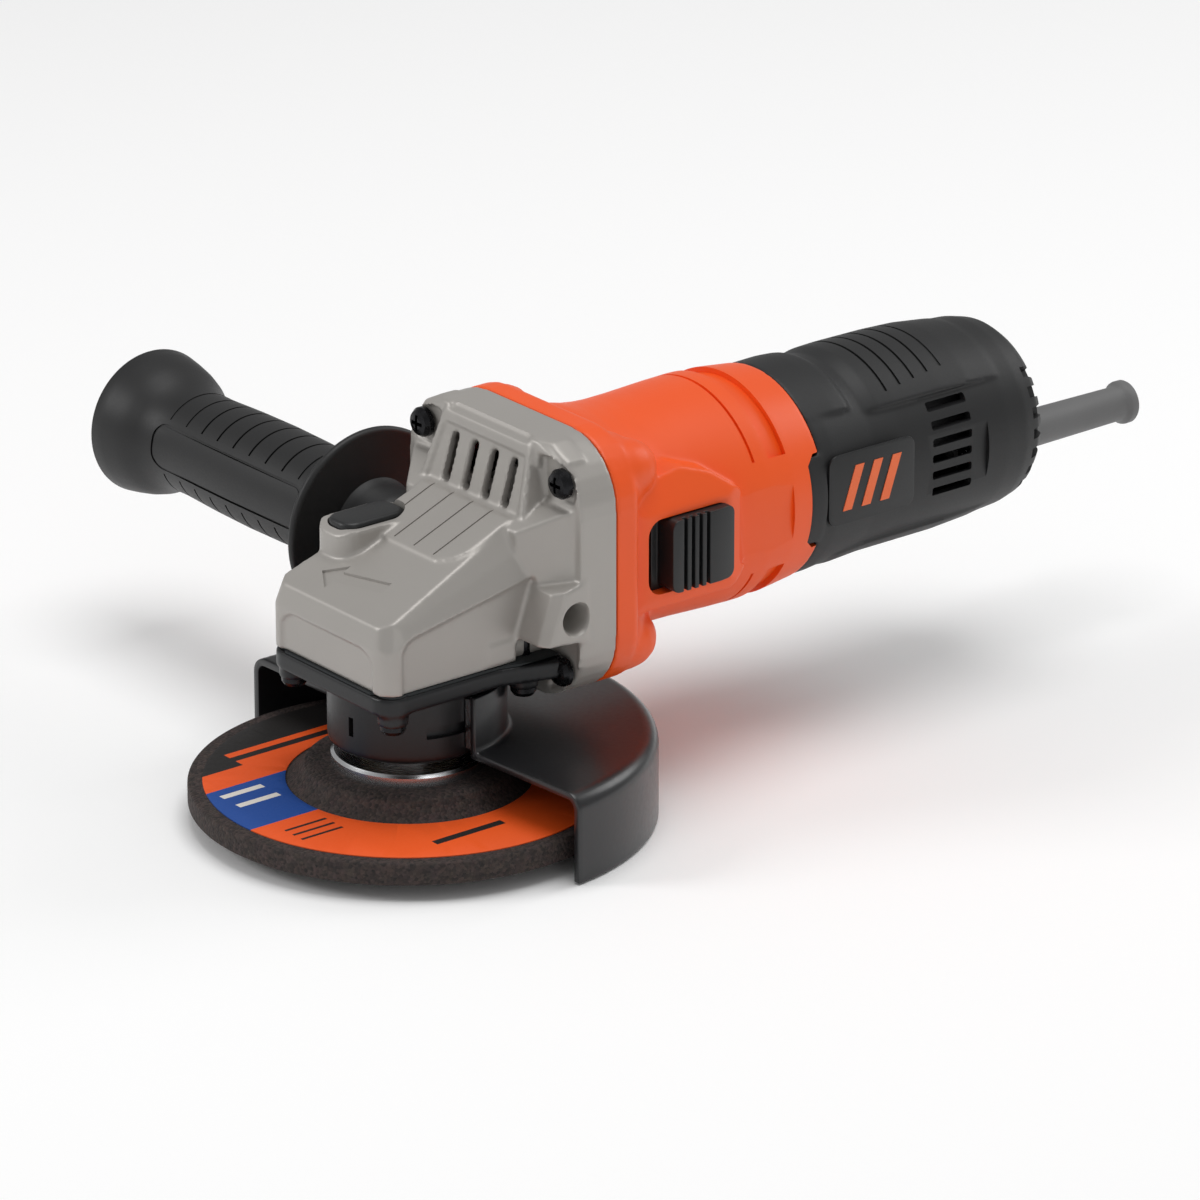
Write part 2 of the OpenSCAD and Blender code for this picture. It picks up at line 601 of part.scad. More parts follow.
module badge_plate() color("#3a3b3d") translate([rear_d / 2 - 1.2, seam_y + 16.5, motor_z + 1.5])
    rotate([90, 0, 90]) linear_extrude(1) round_rect(29.4, 19.8, 3);

module switch_body() color("#2d2d2f") {
    block([-5, seam_y + 37, motor_z - 2], [17, seam_y + 61, motor_z + 14]);
    for (x = [-1, 11]) block([x - 0.4, seam_y + 61, motor_z + 2], [x + 0.4, seam_y + 66, motor_z + 7]);
}
module suppressor() color("#c9b458")
    block([-18.5, seam_y + 35, motor_z - 14], [-7, seam_y + 51, motor_z - 4.5]);
module cord_clamp() color(black) difference() {
    block([-9.4, rear_end_y - 18, cord_z + 3.8], [9.4, rear_end_y - 12.5, cord_z + 6]);
    for (s = [-1, 1]) translate([s * 7, rear_end_y - 15.2, cord_z]) cylinder(r = 1.4, h = 10);
}
module cord_clamp_screws() color(steel) for (s = [-1, 1])
    translate([s * 7, rear_end_y - 15.2, cord_z + 6]) screw(2.3, 1.6, 1.2, 9);
module strain_relief() color("#6b6b6b") y_turned([[cord_bore_d / 2, rear_end_y - 7], [7.6, rear_end_y - 7],
    [7.6, rear_end_y - 4.2], [5.9, rear_end_y - 4.2], [5.9, boot_y], [7, boot_y], [7, boot_y + 1.4],
    [boot_r + 0.5, boot_y + 4], [boot_r, boot_y + 8], [boot_r - 0.35, boot_y + boot_l - 3.4],
    [boot_end_r, boot_y + boot_l - 2.6], [boot_end_r, boot_y + boot_l - 0.2],
    [cord_bore_d / 2, boot_y + boot_l - 0.2]], 0, cord_z);

module spindle() color(steel) rotate_extrude() polygon([[0, tip_z], [tip_r, tip_z],
    [tip_r, nut_bottom - 0.5], [spindle_r, nut_bottom - 0.5], [spindle_r, flange_t], [journal_r + 3, flange_t], [journal_r + 3, bearing_z - 1.5],
    [journal_r + 1, bearing_z - 1.5], [journal_r + 1, bearing_z], [journal_r, bearing_z],
    [journal_r, web_bottom - 10], [gear_seat_r, web_bottom - 10], [gear_seat_r, web_top + 0.6],
    [gear_seat_r - 0.6, web_top + 0.6], [gear_seat_r - 0.6, web_top + 1.8], [gear_seat_r, web_top + 1.8],
    [gear_seat_r, motor_z - 5], [top_journal_r, motor_z - 4], [top_journal_r, chamber_top + 2.4],
    [0, chamber_top + 2.4]]);

// A ring of teeth: each is a straight bar whose section is given as [radius, height]
module teeth(count, points, phase) for (i = [0:count - 1])
    rotate([0, 0, phase + i * 360 / count]) rotate([90, 0, 0])
        translate([0, 0, -tooth_w / 2]) linear_extrude(tooth_w) polygon(points);

function ring_pitch_z(r) = motor_z - r / ratio;
module ring_gear() color("#6f7072") difference() {
    union() {
        rotate_extrude() polygon([[gear_seat_r + fit, web_bottom - 9], [9, web_bottom - 9], [9, web_bottom],
            [ring_outer, web_bottom], [ring_outer, ring_pitch_z(ring_outer) - dedendum],
            [ring_inner, ring_pitch_z(ring_inner) - dedendum], [ring_inner, web_top], [gear_seat_r + fit, web_top]]);
        teeth(ring_teeth, [[tooth_out, web_bottom + 1], [tooth_out, ring_pitch_z(tooth_out) + addendum],
            [tooth_in, ring_pitch_z(tooth_in) + addendum], [tooth_in, web_bottom + 1]], 90);
    }
    for (a = [0:90:270]) rotate([0, 0, a]) translate([lock_pin_x, 0, web_bottom - 1])
        cylinder(r = lock_hole_r, h = 10);
}
module gear_circlip() color("#3c3c3e") rotate([0, 0, 20]) rotate_extrude(angle = 320)
    polygon([[gear_seat_r - 0.55, web_top + 0.7], [gear_seat_r + 2.5, web_top + 0.7],
        [gear_seat_r + 2.5, web_top + 1.7], [gear_seat_r - 0.55, web_top + 1.7]]);
module spindle_bearing_inner() color(steel) translate([0, 0, bearing_z])
    race_inner(spindle_bearing_r, journal_r + fit, spindle_bearing_w);
module backing_flange() color("#c4c5c7") rotate_extrude() polygon([[spindle_r + fit, -wheel_t / 2],
    [wheel_bore_d / 2 - 0.6, -wheel_t / 2], [wheel_bore_d / 2 - 0.6, 0], [flange_r, 0],
    [flange_r, flange_t - 0.8], [flange_r - 0.8, flange_t - fit], [spindle_r + fit, flange_t - fit]]);
module grinding_wheel() color("#2a2221") rotate_extrude() polygon([[wheel_bore_d / 2 + 0.5, -wheel_t],
    [24, -wheel_t], [29.5, rim_bottom], [wheel_r, rim_bottom], [wheel_r, rim_top], [31.5, rim_top],
    [26, 0], [wheel_bore_d / 2 + 0.5, 0]]);
module wheel_bush() color(steel) z_ring(wheel_bore_d / 2 + 0.5, wheel_bore_d / 2 - 0.5, -wheel_t, 0);
module wheel_label() color(orange) z_ring(label_d / 2, label_hole_d / 2, rim_top, rim_top + 0.3);
module clamp_nut() color(steel) difference() {
    rotate_extrude() polygon([[spindle_r + fit, nut_bottom], [flange_r - 6, nut_bottom],
        [flange_r - 1, nut_bottom + nut_t * 0.45], [flange_r - 1, nut_top], [spindle_r + fit, nut_top]]);
    for (a = [0, 180]) rotate([0, 0, a]) translate([11.5, 0, nut_bottom - 1]) cylinder(r = 2.5, h = nut_t - 1);
}

module armature_shaft() color(steel) y_turned([[0, ring_inner - 3.6], [pinion_seat_r, ring_inner - 3.6],
    [pinion_seat_r, rear_flange_y], [shaft_r, rear_flange_y], [shaft_r, rear_bearing_y],
    [rear_journal_r, rear_bearing_y], [rear_journal_r, rear_bearing_y + rear_bearing_w + 0.5],
    [0, rear_bearing_y + rear_bearing_w + 0.5]]);
module slots(count, width, low, high, y0, y1) for (i = [0:count - 1])
    rotate_about_motor((i + 0.5) * 360 / count) block([low, y0, -width / 2], [high, y1, width / 2]);
module armature_core() color("#6c6d70") difference() {
    y_ring(core_r, shaft_r + fit, core_y, core_end);
    slots(12, 2.2, core_r - 7, core_r + 1, core_y - 1, core_end + 1);
}
module armature_windings() color("#b8672f") {
    slots(12, 1.9, core_r - 6.6, core_r - 1.2, core_y - 1, core_end + 1);
    for (y = [core_y - winding_l, core_end + 0.1]) y_turned([[shaft_r + 1, y], [core_r - 5, y],
        [core_r - 1.6, y + 2], [core_r - 1.2, y + winding_l - 0.1], [shaft_r + 1, y + winding_l - 0.1]]);
}
module commutator() color("#b87333") difference() {
    y_ring(commutator_r, shaft_r + fit, commutator_y, commutator_y + commutator_l);
    slots(24, 0.6, commutator_r - 0.8, commutator_r + 1, commutator_y + 2, commutator_y + commutator_l + 1);
}
module fan() color("#3d3d40") {
    y_ring(9, shaft_r + fit, fan_y, fan_y + fan_w);
    y_ring(fan_d / 2, 8.5, fan_y + fan_w - 2, fan_y + fan_w);
    for (i = [0:14]) rotate_about_motor(i * 24)
        block([8.5, fan_y + 1, -0.8], [fan_d / 2, fan_y + fan_w - 1, 0.8]);
}
module pinion() color("#6f7072") on_motor(0) difference() {
    union() {
        rotate_extrude() polygon([[0, ring_inner], [ring_inner / ratio - dedendum, ring_inner],
            [ring_outer / ratio - dedendum, ring_outer], [ring_outer / ratio + 0.2, ring_outer + 0.6],
            [ring_outer / ratio + 0.2, rear_flange_y], [0, rear_flange_y]]);
        teeth(pinion_teeth, [[pinion_seat_r + 0.3, tooth_in], [tooth_in / ratio + addendum, tooth_in],
            [tooth_out / ratio + addendum, tooth_out], [pinion_seat_r + 0.3, tooth_out]],
            90 + 180 / pinion_teeth);
    }
    translate([0, 0, ring_inner - 1]) cylinder(r = pinion_seat_r + fit, h = 40);
}
module pinion_nut() color(dark_steel) on_motor(ring_inner - 3.2) difference() {
    cylinder(r = 3.6, h = 3.1, $fn = 6);
    translate([0, 0, -1]) cylinder(r = pinion_seat_r + fit, h = 6);
}
module front_bearing_inner() color(steel) on_motor(front_bearing_y)
    race_inner(front_bearing_r, shaft_r + fit, front_bearing_w);
module rear_bearing_inner() color(steel) on_motor(rear_bearing_y)
    race_inner(rear_bearing_r, rear_journal_r + fit, rear_bearing_w);

// Section of the guard as [radius, height]: collar, flat top, rounded shoulder and skirt with a lip
collar_r = neck_r + 4.2;
shoulder = 4.5;
function shoulder_arc(r) = [for (a = [90:-15:0]) [guard_r - shoulder + r * cos(a), guard_top - shoulder + r * sin(a)]];
module guard() color("#2e2e30") rotate([0, 0, 93.5 - guard_wrap / 2]) rotate_extrude(angle = guard_wrap, $fn = 128)
    polygon(concat([[collar_r - guard_t, guard_top - guard_t], [collar_r - guard_t, collar_top],
        [collar_r, collar_top], [collar_r, guard_top]], shoulder_arc(shoulder),
        [[guard_r, guard_bottom + 2], [guard_r + 0.8, guard_bottom], [guard_r - guard_t + 0.6, guard_bottom],
        [guard_r - guard_t, guard_bottom + 2]], [for (i = [6:-1:0]) shoulder_arc(shoulder - guard_t)[i]]));
module guard_band() color(steel) {
    rotate([0, 0, 5]) rotate_extrude(angle = 170) polygon([[neck_r + gap, guard_top + 0.4],
        [collar_r - guard_t - fit, guard_top + 0.4], [collar_r - guard_t - fit, collar_top - 1],
        [neck_r + gap, collar_top - 1]]);
    for (a = [70, 110]) rotate([0, 0, a - 12]) rotate_extrude(angle = 24) polygon([[neck_r - 1.2, 13.8],
        [neck_r + 1, 13.8], [neck_r + 1, 16.2], [neck_r - 1.2, 16.2]]);
}

module switch_button() color("#262626") difference() {
    union() {
        block([slide_x, button_y - 2, motor_z - button_h / 2 - 2.6],
            [slide_x + 1.4, button_y + button_l + 2, motor_z + button_h / 2 + 2.6]);
        translate([slide_x + 1, button_y + button_l / 2, motor_z]) rotate([90, 0, 90])
            linear_extrude(button_x - slide_x - 1) round_rect(button_l, button_h, 2.5);
    }
    for (i = [0:4]) block([button_x - 1.2, button_y + 4 + i * 2.6, motor_z - button_h / 2 + 2],
        [button_x + 1, button_y + 5.2 + i * 2.6, motor_z + button_h / 2 - 2]);
}
module switch_rod() color("#202020") {
    block([rod_x, button_y + 4, motor_z - rod_h / 2], [rod_x + rod_t, seam_y - 3, motor_z + rod_h / 2]);
    block([rod_x, button_y + 8, motor_z - rod_h / 2], [slide_x, button_y + 16, motor_z + rod_h / 2]);
    block([rod_rear_x, seam_y - 5.5, motor_z - rod_h / 2], [rod_x + rod_t, seam_y - 3, motor_z + rod_h / 2]);
    block([rod_rear_x, seam_y - 5.5, motor_z - rod_h / 2], [rod_rear_x + 1.8, seam_y + 35, motor_z + rod_h / 2]);
    block([rod_rear_x - 4, seam_y + 33, motor_z - rod_h / 2], [rod_rear_x + 1, seam_y + 35, motor_z + rod_h / 2]);
}

module lock_button() color("#222222") difference() {
    union() {
        translate([lock_x, 0, lock_bottom]) linear_extrude(lock_top - lock_bottom - 1) stadium(lock_l, lock_w);
        translate([lock_x, 0, lock_bottom]) linear_extrude(lock_top - lock_bottom)
            stadium(lock_l - 2, lock_w - 2);
    }
    translate([lock_pin_x, 0, lock_bottom - 1]) cylinder(r = lock_pin_r + fit, h = 3);
}
module lock_pin() color(steel) translate([lock_pin_x, 0, web_top + 0.7])
    cylinder(r = lock_pin_r, h = lock_bottom + 2 - web_top - 0.7);
module lock_clip() color("#3c3c3e") translate([lock_pin_x, 0, 0])
    z_ring(lock_pin_r + 0.6, lock_pin_r + 0.01, chamber_top - 1.2, chamber_top - gap);
module lock_spring() color(steel) translate([lock_x - 1.5, 0, 0])
    z_ring(2.6, 1.9, lock_floor + 0.1, lock_bottom - 0.1);

module handle_stud() color(steel) x_rod(stud_d / 2, -hand_stop_x - 14, -boss_x + handle_hole_l - 1.5);
module handle_grip() color("#2e2e2e") difference() {
    translate([0, handle_y, handle_z]) rotate([0, -90, 0]) rotate_extrude() polygon([[0, handle_start],
        [10, handle_start], [11.5, handle_start + 2], [11.5, hand_stop_x - 1.5], [hand_stop_d / 2 - 1, hand_stop_x],
        [hand_stop_d / 2, hand_stop_x + 1], [hand_stop_d / 2 - 0.6, hand_stop_x + stop_t],
        [grip_d / 2 + 1.5, hand_stop_x + stop_t + 1], [grip_d / 2, hand_stop_x + stop_t + 3.5],
        [grip_d / 2 + 0.6, hand_stop_x + grip_l * 0.45], [grip_d / 2 - 0.2, handle_end - 24],
        [grip_d / 2 + 1.5, handle_end - 16], [bell_d / 2 - 1.2, handle_end - 7], [bell_d / 2, handle_end - 3.5],
        [bell_d / 2 - 1, handle_end - 1], [bell_d / 2 - 3.5, handle_end], [0, handle_end]]);
    x_rod(stud_d / 2 + 0.02, -hand_stop_x - 14, 0);
}

gear_case();
gear_cover();
cover_gasket();
cover_screws();
gear_case_screws();
top_bush();
spindle_bearing_outer();
bearing_retainer();
dust_ring();
bearing_plate();
bearing_plate_screws();
front_bearing_outer();
air_baffle();
motor_housing();
stator_core();
stator_coils();
brush_plate();
carbon_brushes();
brush_springs();
rear_bearing_outer();
rear_bearing_sleeve();
rear_cover();
rear_cover_screws();
badge_plate();
switch_body();
suppressor();
cord_clamp();
cord_clamp_screws();
strain_relief();
spindle();
ring_gear();
gear_circlip();
spindle_bearing_inner();
backing_flange();
grinding_wheel();
wheel_bush();
wheel_label();
clamp_nut();
armature_shaft();
armature_core();
armature_windings();
commutator();
fan();
pinion();
pinion_nut();
front_bearing_inner();
rear_bearing_inner();
guard();
guard_band();
switch_button();
switch_rod();
lock_button();
lock_pin();
lock_clip();
lock_spring();
handle_stud();
handle_grip();
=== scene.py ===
import math

import bpy
from mathutils import Matrix, Vector


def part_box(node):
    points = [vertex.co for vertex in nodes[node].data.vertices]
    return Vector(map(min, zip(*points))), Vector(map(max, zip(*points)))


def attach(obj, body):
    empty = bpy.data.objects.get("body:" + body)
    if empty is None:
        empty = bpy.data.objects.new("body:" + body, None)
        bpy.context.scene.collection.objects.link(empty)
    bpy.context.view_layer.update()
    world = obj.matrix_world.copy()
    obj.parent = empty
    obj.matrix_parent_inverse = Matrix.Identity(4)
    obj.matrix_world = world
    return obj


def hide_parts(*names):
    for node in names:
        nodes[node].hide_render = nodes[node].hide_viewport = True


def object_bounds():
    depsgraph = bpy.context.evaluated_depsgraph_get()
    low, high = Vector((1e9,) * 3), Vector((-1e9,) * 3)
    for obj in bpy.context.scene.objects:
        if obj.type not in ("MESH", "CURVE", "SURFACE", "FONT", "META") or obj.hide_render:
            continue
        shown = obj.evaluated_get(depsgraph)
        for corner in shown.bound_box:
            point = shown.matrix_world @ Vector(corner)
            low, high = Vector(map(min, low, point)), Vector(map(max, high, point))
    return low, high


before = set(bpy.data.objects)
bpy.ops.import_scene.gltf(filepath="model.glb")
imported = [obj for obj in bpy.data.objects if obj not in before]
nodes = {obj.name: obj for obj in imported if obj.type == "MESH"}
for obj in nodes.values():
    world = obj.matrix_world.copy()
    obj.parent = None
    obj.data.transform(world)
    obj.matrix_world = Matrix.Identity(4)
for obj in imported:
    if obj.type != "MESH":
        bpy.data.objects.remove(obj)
cadLow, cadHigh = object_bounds()
mm = 0.001
print("frame loaded:", len(nodes), "nodes")


def atPoint(azimuth, elevation):
    a, e = math.radians(azimuth), math.radians(elevation)
    return Vector((math.sin(a) * math.cos(e), -math.cos(a) * math.cos(e), math.sin(e)))


def makeCamera():
    look = {"azimuth": 51.5, "elevation": 21.7, "distance": 2.07, "right": 0.0492, "up": 0.0482,
            "aim": Vector((0, 0, -0.0082)), "lens": 240}
    back = atPoint(look["azimuth"], look["elevation"])
    right = Vector((0, 0, 1)).cross(back).normalized()
    up = back.cross(right)
    data = bpy.data.cameras.new("camera")
    data.lens = look["lens"]
    data.sensor_width = 36
    data.clip_end = 20
    camera = bpy.data.objects.new("camera", data)
    bpy.context.scene.collection.objects.link(camera)
    place = look["aim"] + back * look["distance"] + right * look["right"] + up * look["up"]
    camera.matrix_world = Matrix.Translation(place) @ Matrix((right, up, back)).transposed().to_4x4()
    bpy.context.scene.camera = camera


def hexColour(code, alpha=1.0):
    # sRGB hex to the linear numbers that the shaders take
    parts = [int(code[i:i + 2], 16) / 255 for i in (1, 3, 5)]
    return tuple(c / 12.92 if c <= 0.04045 else ((c + 0.055) / 1.055) ** 2.4 for c in parts) + (alpha,)


def makeStudio():
    studio = {"world": "#FFFFFF", "worldStrength": 0.4, "floor": "#FFFFFF", "floorSize": 6.0,
              "drop": 0.0005}
    world = bpy.data.worlds.new("softStudio")
    bpy.context.scene.world = world
    world.use_nodes = True
    background = world.node_tree.nodes["Background"]
    background.inputs["Color"].default_value = hexColour(studio["world"])
    background.inputs["Strength"].default_value = studio["worldStrength"]
    lamps = {
        "overhead": {"place": (0.1, 0.15, 1.5), "size": 1.1, "power": 10},
        "keyLeft": {"place": (-0.9, -1.3, 1.0), "size": 0.7, "power": 9},
        "fillRight": {"place": (1.6, -0.4, 0.5), "size": 0.8, "power": 1.5},
        "rim": {"place": (0.2, 1.5, 0.9), "size": 0.8, "power": 5},
    }
    bpy.context.scene.view_settings.view_transform = "Standard"  # keeps the moulded colours as deep as they are
    for name, lamp in lamps.items():
        data = bpy.data.lights.new(name, "AREA")
        data.shape = "DISK"
        data.size = lamp["size"]
        data.energy = lamp["power"]
        light = bpy.data.objects.new(name, data)
        bpy.context.scene.collection.objects.link(light)
        light.location = lamp["place"]
        aim = Vector((0, 0.08, 0.03)) - light.location
        light.rotation_euler = aim.to_track_quat("-Z", "Y").to_euler()
    bpy.ops.mesh.primitive_plane_add(size=studio["floorSize"], location=(0, 0, cadLow.z - studio["drop"]))
    floor = bpy.context.object
    floor.name = "floor"
    floor.data.materials.append(plainSurface("matteFloor", studio["floor"], 0.9))


def openMode(mode):
    bpy.ops.object.mode_set(mode=mode)


def deselectAll():
    if bpy.context.object and bpy.context.object.mode != "OBJECT":
        openMode("OBJECT")
    bpy.ops.object.select_all(action="DESELECT")


def makeActive(piece):
    deselectAll()
    piece.select_set(True)
    bpy.context.view_layer.objects.active = piece


def selectMesh():
    bpy.ops.mesh.select_all(action="SELECT")


def applyPlace(piece):
    makeActive(piece)
    bpy.ops.object.transform_apply(location=True, rotation=True, scale=True)


def block(name, low, high):
    # a box between two corners, in mm
    deselectAll()
    low, high = Vector(low), Vector(high)
    bpy.ops.mesh.primitive_cube_add(size=1, location=(low + high) / 2 * mm, scale=(high - low) * mm)
    piece = bpy.context.object
    piece.name = name
    applyPlace(piece)
    return piece


def roundEdges(piece, width, test, segments=6):
    # rounds the edges whose two ends, in mm, pass the test
    makeActive(piece)
    openMode("EDIT")
    bpy.ops.mesh.select_mode(type="EDGE")
    bpy.ops.mesh.select_all(action="DESELECT")
    openMode("OBJECT")
    for edge in piece.data.edges:
        a, b = (piece.data.vertices[i].co / mm for i in edge.vertices)
        edge.select = test(a, b)
    openMode("EDIT")
    bpy.ops.mesh.bevel(offset=width * mm, segments=segments, affect="EDGES", offset_type="OFFSET")
    openMode("OBJECT")


def slice(piece, point, normal):
    # cuts away what lies on the normal's side of a plane and closes the cut
    makeActive(piece)
    openMode("EDIT")
    selectMesh()
    bpy.ops.mesh.bisect(plane_co=Vector(point) * mm, plane_no=Vector(normal).normalized(), use_fill=False,
                        clear_outer=True, threshold=1e-6)
    closeAndTidy(piece)


def chain(name, points):
    # a chain of edges, drawn by extruding one vertex from point to point
    deselectAll()
    bpy.ops.mesh.primitive_plane_add(size=mm, location=(0, 0, 0))
    piece = bpy.context.object
    piece.name = name
    openMode("EDIT")
    bpy.ops.mesh.select_mode(type="VERT")
    selectMesh()
    bpy.ops.mesh.merge(type="CENTER")
    bpy.ops.transform.translate(value=Vector(points[0]) * mm)
    for before, after in zip(points, points[1:]):
        step = (Vector(after) - Vector(before)) * mm
        bpy.ops.mesh.extrude_vertices_move(TRANSFORM_OT_translate={"value": step})
    return piece


def closeAndTidy(piece):
    bpy.ops.mesh.select_mode(type="VERT")
    selectMesh()
    bpy.ops.mesh.remove_doubles(threshold=1e-6)
    bpy.ops.mesh.select_all(action="DESELECT")
    bpy.ops.mesh.select_non_manifold()
    bpy.ops.mesh.fill_holes(sides=0)
    selectMesh()
    bpy.ops.mesh.normals_make_consistent(inside=False)
    openMode("OBJECT")
    return piece


def extruded(name, points, along):
    # a flat outline, given as 3D points in mm, pushed along a vector
    piece = chain(name, points)
    selectMesh()
    bpy.ops.mesh.edge_face_add()
    bpy.ops.mesh.extrude_region_move(TRANSFORM_OT_translate={"value": Vector(along) * mm})
    return closeAndTidy(piece)


def turned(name, profile, steps=96, sweep=360, start=0, ring=False):
    # a body of revolution about Z from [radius, height] points; a ring's profile closes on itself
    points = [(r, 0, h) for r, h in profile]
    piece = chain(name, points + points[:1] if ring else points)
    selectMesh()
    bpy.ops.mesh.remove_doubles(threshold=1e-7)
    selectMesh()
    if start:
        bpy.ops.transform.rotate(value=-math.radians(start), orient_axis="Z", center_override=(0, 0, 0))
    bpy.ops.mesh.spin(steps=steps, angle=-math.radians(sweep), center=(0, 0, 0), axis=(0, 0, 1))
    return closeAndTidy(piece)


def lay(piece, direction, centre):
    # turns a body made about Z to lie along another direction, and moves it to its place in mm
    turn = Vector((0, 0, 1)).rotation_difference(Vector(direction)).to_matrix().to_4x4()
    piece.matrix_world = Matrix.Translation(Vector(centre) * mm) @ turn
    applyPlace(piece)
    return piece


def shift(piece, move):
    piece.location = Vector(move) * mm
    applyPlace(piece)
    return piece


def turnedAlong(name, profile, place, **how):
    # a turned body that lies along the motor, from a place in mm
    return lay(turned(name, profile, **how), (0, 1, 0), place)


def turnedAboutMotor(name, profile, **how):
    return turnedAlong(name, profile, (0, 0, motorZ), **how)


def combine(piece, tool, operation):
    makeActive(piece)
    change = piece.modifiers.new("combine", "BOOLEAN")
    change.operation = operation
    change.object = tool
    change.solver = "MANIFOLD"
    bpy.ops.object.modifier_apply(modifier=change.name)
    bpy.data.objects.remove(tool)


def cut(piece, *tools):
    for tool in tools:
        combine(piece, tool, "DIFFERENCE")


def add(piece, *tools):
    for tool in tools:
        combine(piece, tool, "UNION")


def castSkin(piece, voxel, passes):
    # one even skin over the joined blanks, then smoothed so that every inner corner gets a fillet
    makeActive(piece)
    skin = piece.modifiers.new("skin", "REMESH")
    skin.mode = "VOXEL"
    skin.voxel_size = voxel * mm
    bpy.ops.object.modifier_apply(modifier=skin.name)
    ease = piece.modifiers.new("ease", "SMOOTH")
    ease.factor = 0.5
    ease.iterations = passes
    bpy.ops.object.modifier_apply(modifier=ease.name)


def softBevel(piece, width, segments=3, angle=35):
    makeActive(piece)
    edge = piece.modifiers.new("edge", "BEVEL")
    edge.width = width * mm
    edge.segments = segments
    edge.limit_method = "ANGLE"
    edge.angle_limit = math.radians(angle)
    edge.harden_normals = False
    bpy.ops.object.modifier_apply(modifier=edge.name)


def finished(piece, material, body, replaced=(), smooth=35):
    makeActive(piece)
    bpy.ops.object.shade_smooth_by_angle(angle=math.radians(smooth))
    if material is not None:
        piece.data.materials.clear()
        piece.data.materials.append(material)
    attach(piece, body)
    if replaced:
        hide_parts(*replaced)
    return piece


def arc(centre, radius, first, last, count=6):
    # points along an arc, angles in degrees from the radial direction
    steps = [first + (last - first) * i / count for i in range(count + 1)]
    return [(centre[0] + radius * math.cos(math.radians(a)), centre[1] + radius * math.sin(math.radians(a)))
            for a in steps]


def roundedOutline(width, height, radius, count=6, middle=(0, 0)):
    # a rectangle with round corners, as flat points round its middle
    points = []
    for sx, sy, first in ((1, 1, 0), (-1, 1, 90), (-1, -1, 180), (1, -1, 270)):
        centre = (sx * (width / 2 - radius), sy * (height / 2 - radius))
        points += arc(centre, radius, first, first + 90, count)
    return [(middle[0] + x, middle[1] + y) for x, y in points]


def addNode(tree, kind, settings=None, **links):
    # one node with its settings; a link is an output socket that feeds the named input
    node = tree.nodes.new(kind)
    for key, value in (settings or {}).items():
        if key in node.inputs:
            node.inputs[key].default_value = value
        else:
            setattr(node, key, value)
    for key, socket in links.items():
        name = key.replace("_", " ")
        target = node.inputs[int(key[1:])] if key[0] == "i" and key[1:].isdigit() else node.inputs[name]
        tree.links.new(socket, target)
    return node


def newMaterial(name, baseHex, roughness, metallic=0.0, **sockets):
    material = bpy.data.materials.new(name)
    material.use_nodes = True
    tree = material.node_tree
    shader = tree.nodes["Principled BSDF"]
    shader.inputs["Base Color"].default_value = hexColour(baseHex)
    shader.inputs["Roughness"].default_value = roughness
    shader.inputs["Metallic"].default_value = metallic
    for key, value in sockets.items():
        shader.inputs[key.replace("_", " ")].default_value = value
    return material, tree, shader


def plainSurface(name, baseHex, roughness):
    return newMaterial(name, baseHex, roughness)[0]


def addRelief(tree, shader, height, depthMm, strength=1.0, invert=False):
    bump = addNode(tree, "ShaderNodeBump", {"Strength": strength, "Distance": depthMm * mm, "invert": invert},
                   Height=height)
    tree.links.new(bump.outputs[0], shader.inputs["Normal"])


def varyRoughness(tree, shader, low, high, by):
    rough = addNode(tree, "ShaderNodeMapRange", {"To Min": low, "To Max": high}, Value=by)
    tree.links.new(rough.outputs[0], shader.inputs["Roughness"])


def grainedSurface(name, baseHex, darkHex, roughness, grainMm, depthMm, metallic=0.0, patchMm=30,
                   roughSpread=0.08, **sockets):
    # fine surface grain as bump, a slow drift between two tones, and roughness that follows the grain
    material, tree, shader = newMaterial(name, baseHex, roughness, metallic, **sockets)
    place = addNode(tree, "ShaderNodeTexCoord").outputs["Object"]
    grain = addNode(tree, "ShaderNodeTexNoise", {"Scale": 1000 / grainMm, "Detail": 3.0, "Roughness": 0.6},
                    Vector=place)
    patch = addNode(tree, "ShaderNodeTexNoise", {"Scale": 1000 / patchMm, "Detail": 2.0}, Vector=place)
    tone = addNode(tree, "ShaderNodeMix", {"data_type": "RGBA"}, i0=patch.outputs["Fac"])
    tone.inputs[6].default_value = hexColour(darkHex)
    tone.inputs[7].default_value = hexColour(baseHex)
    tree.links.new(tone.outputs[2], shader.inputs["Base Color"])
    varyRoughness(tree, shader, roughness - roughSpread, roughness + roughSpread, grain.outputs["Fac"])
    addRelief(tree, shader, grain.outputs["Fac"], depthMm)
    return material


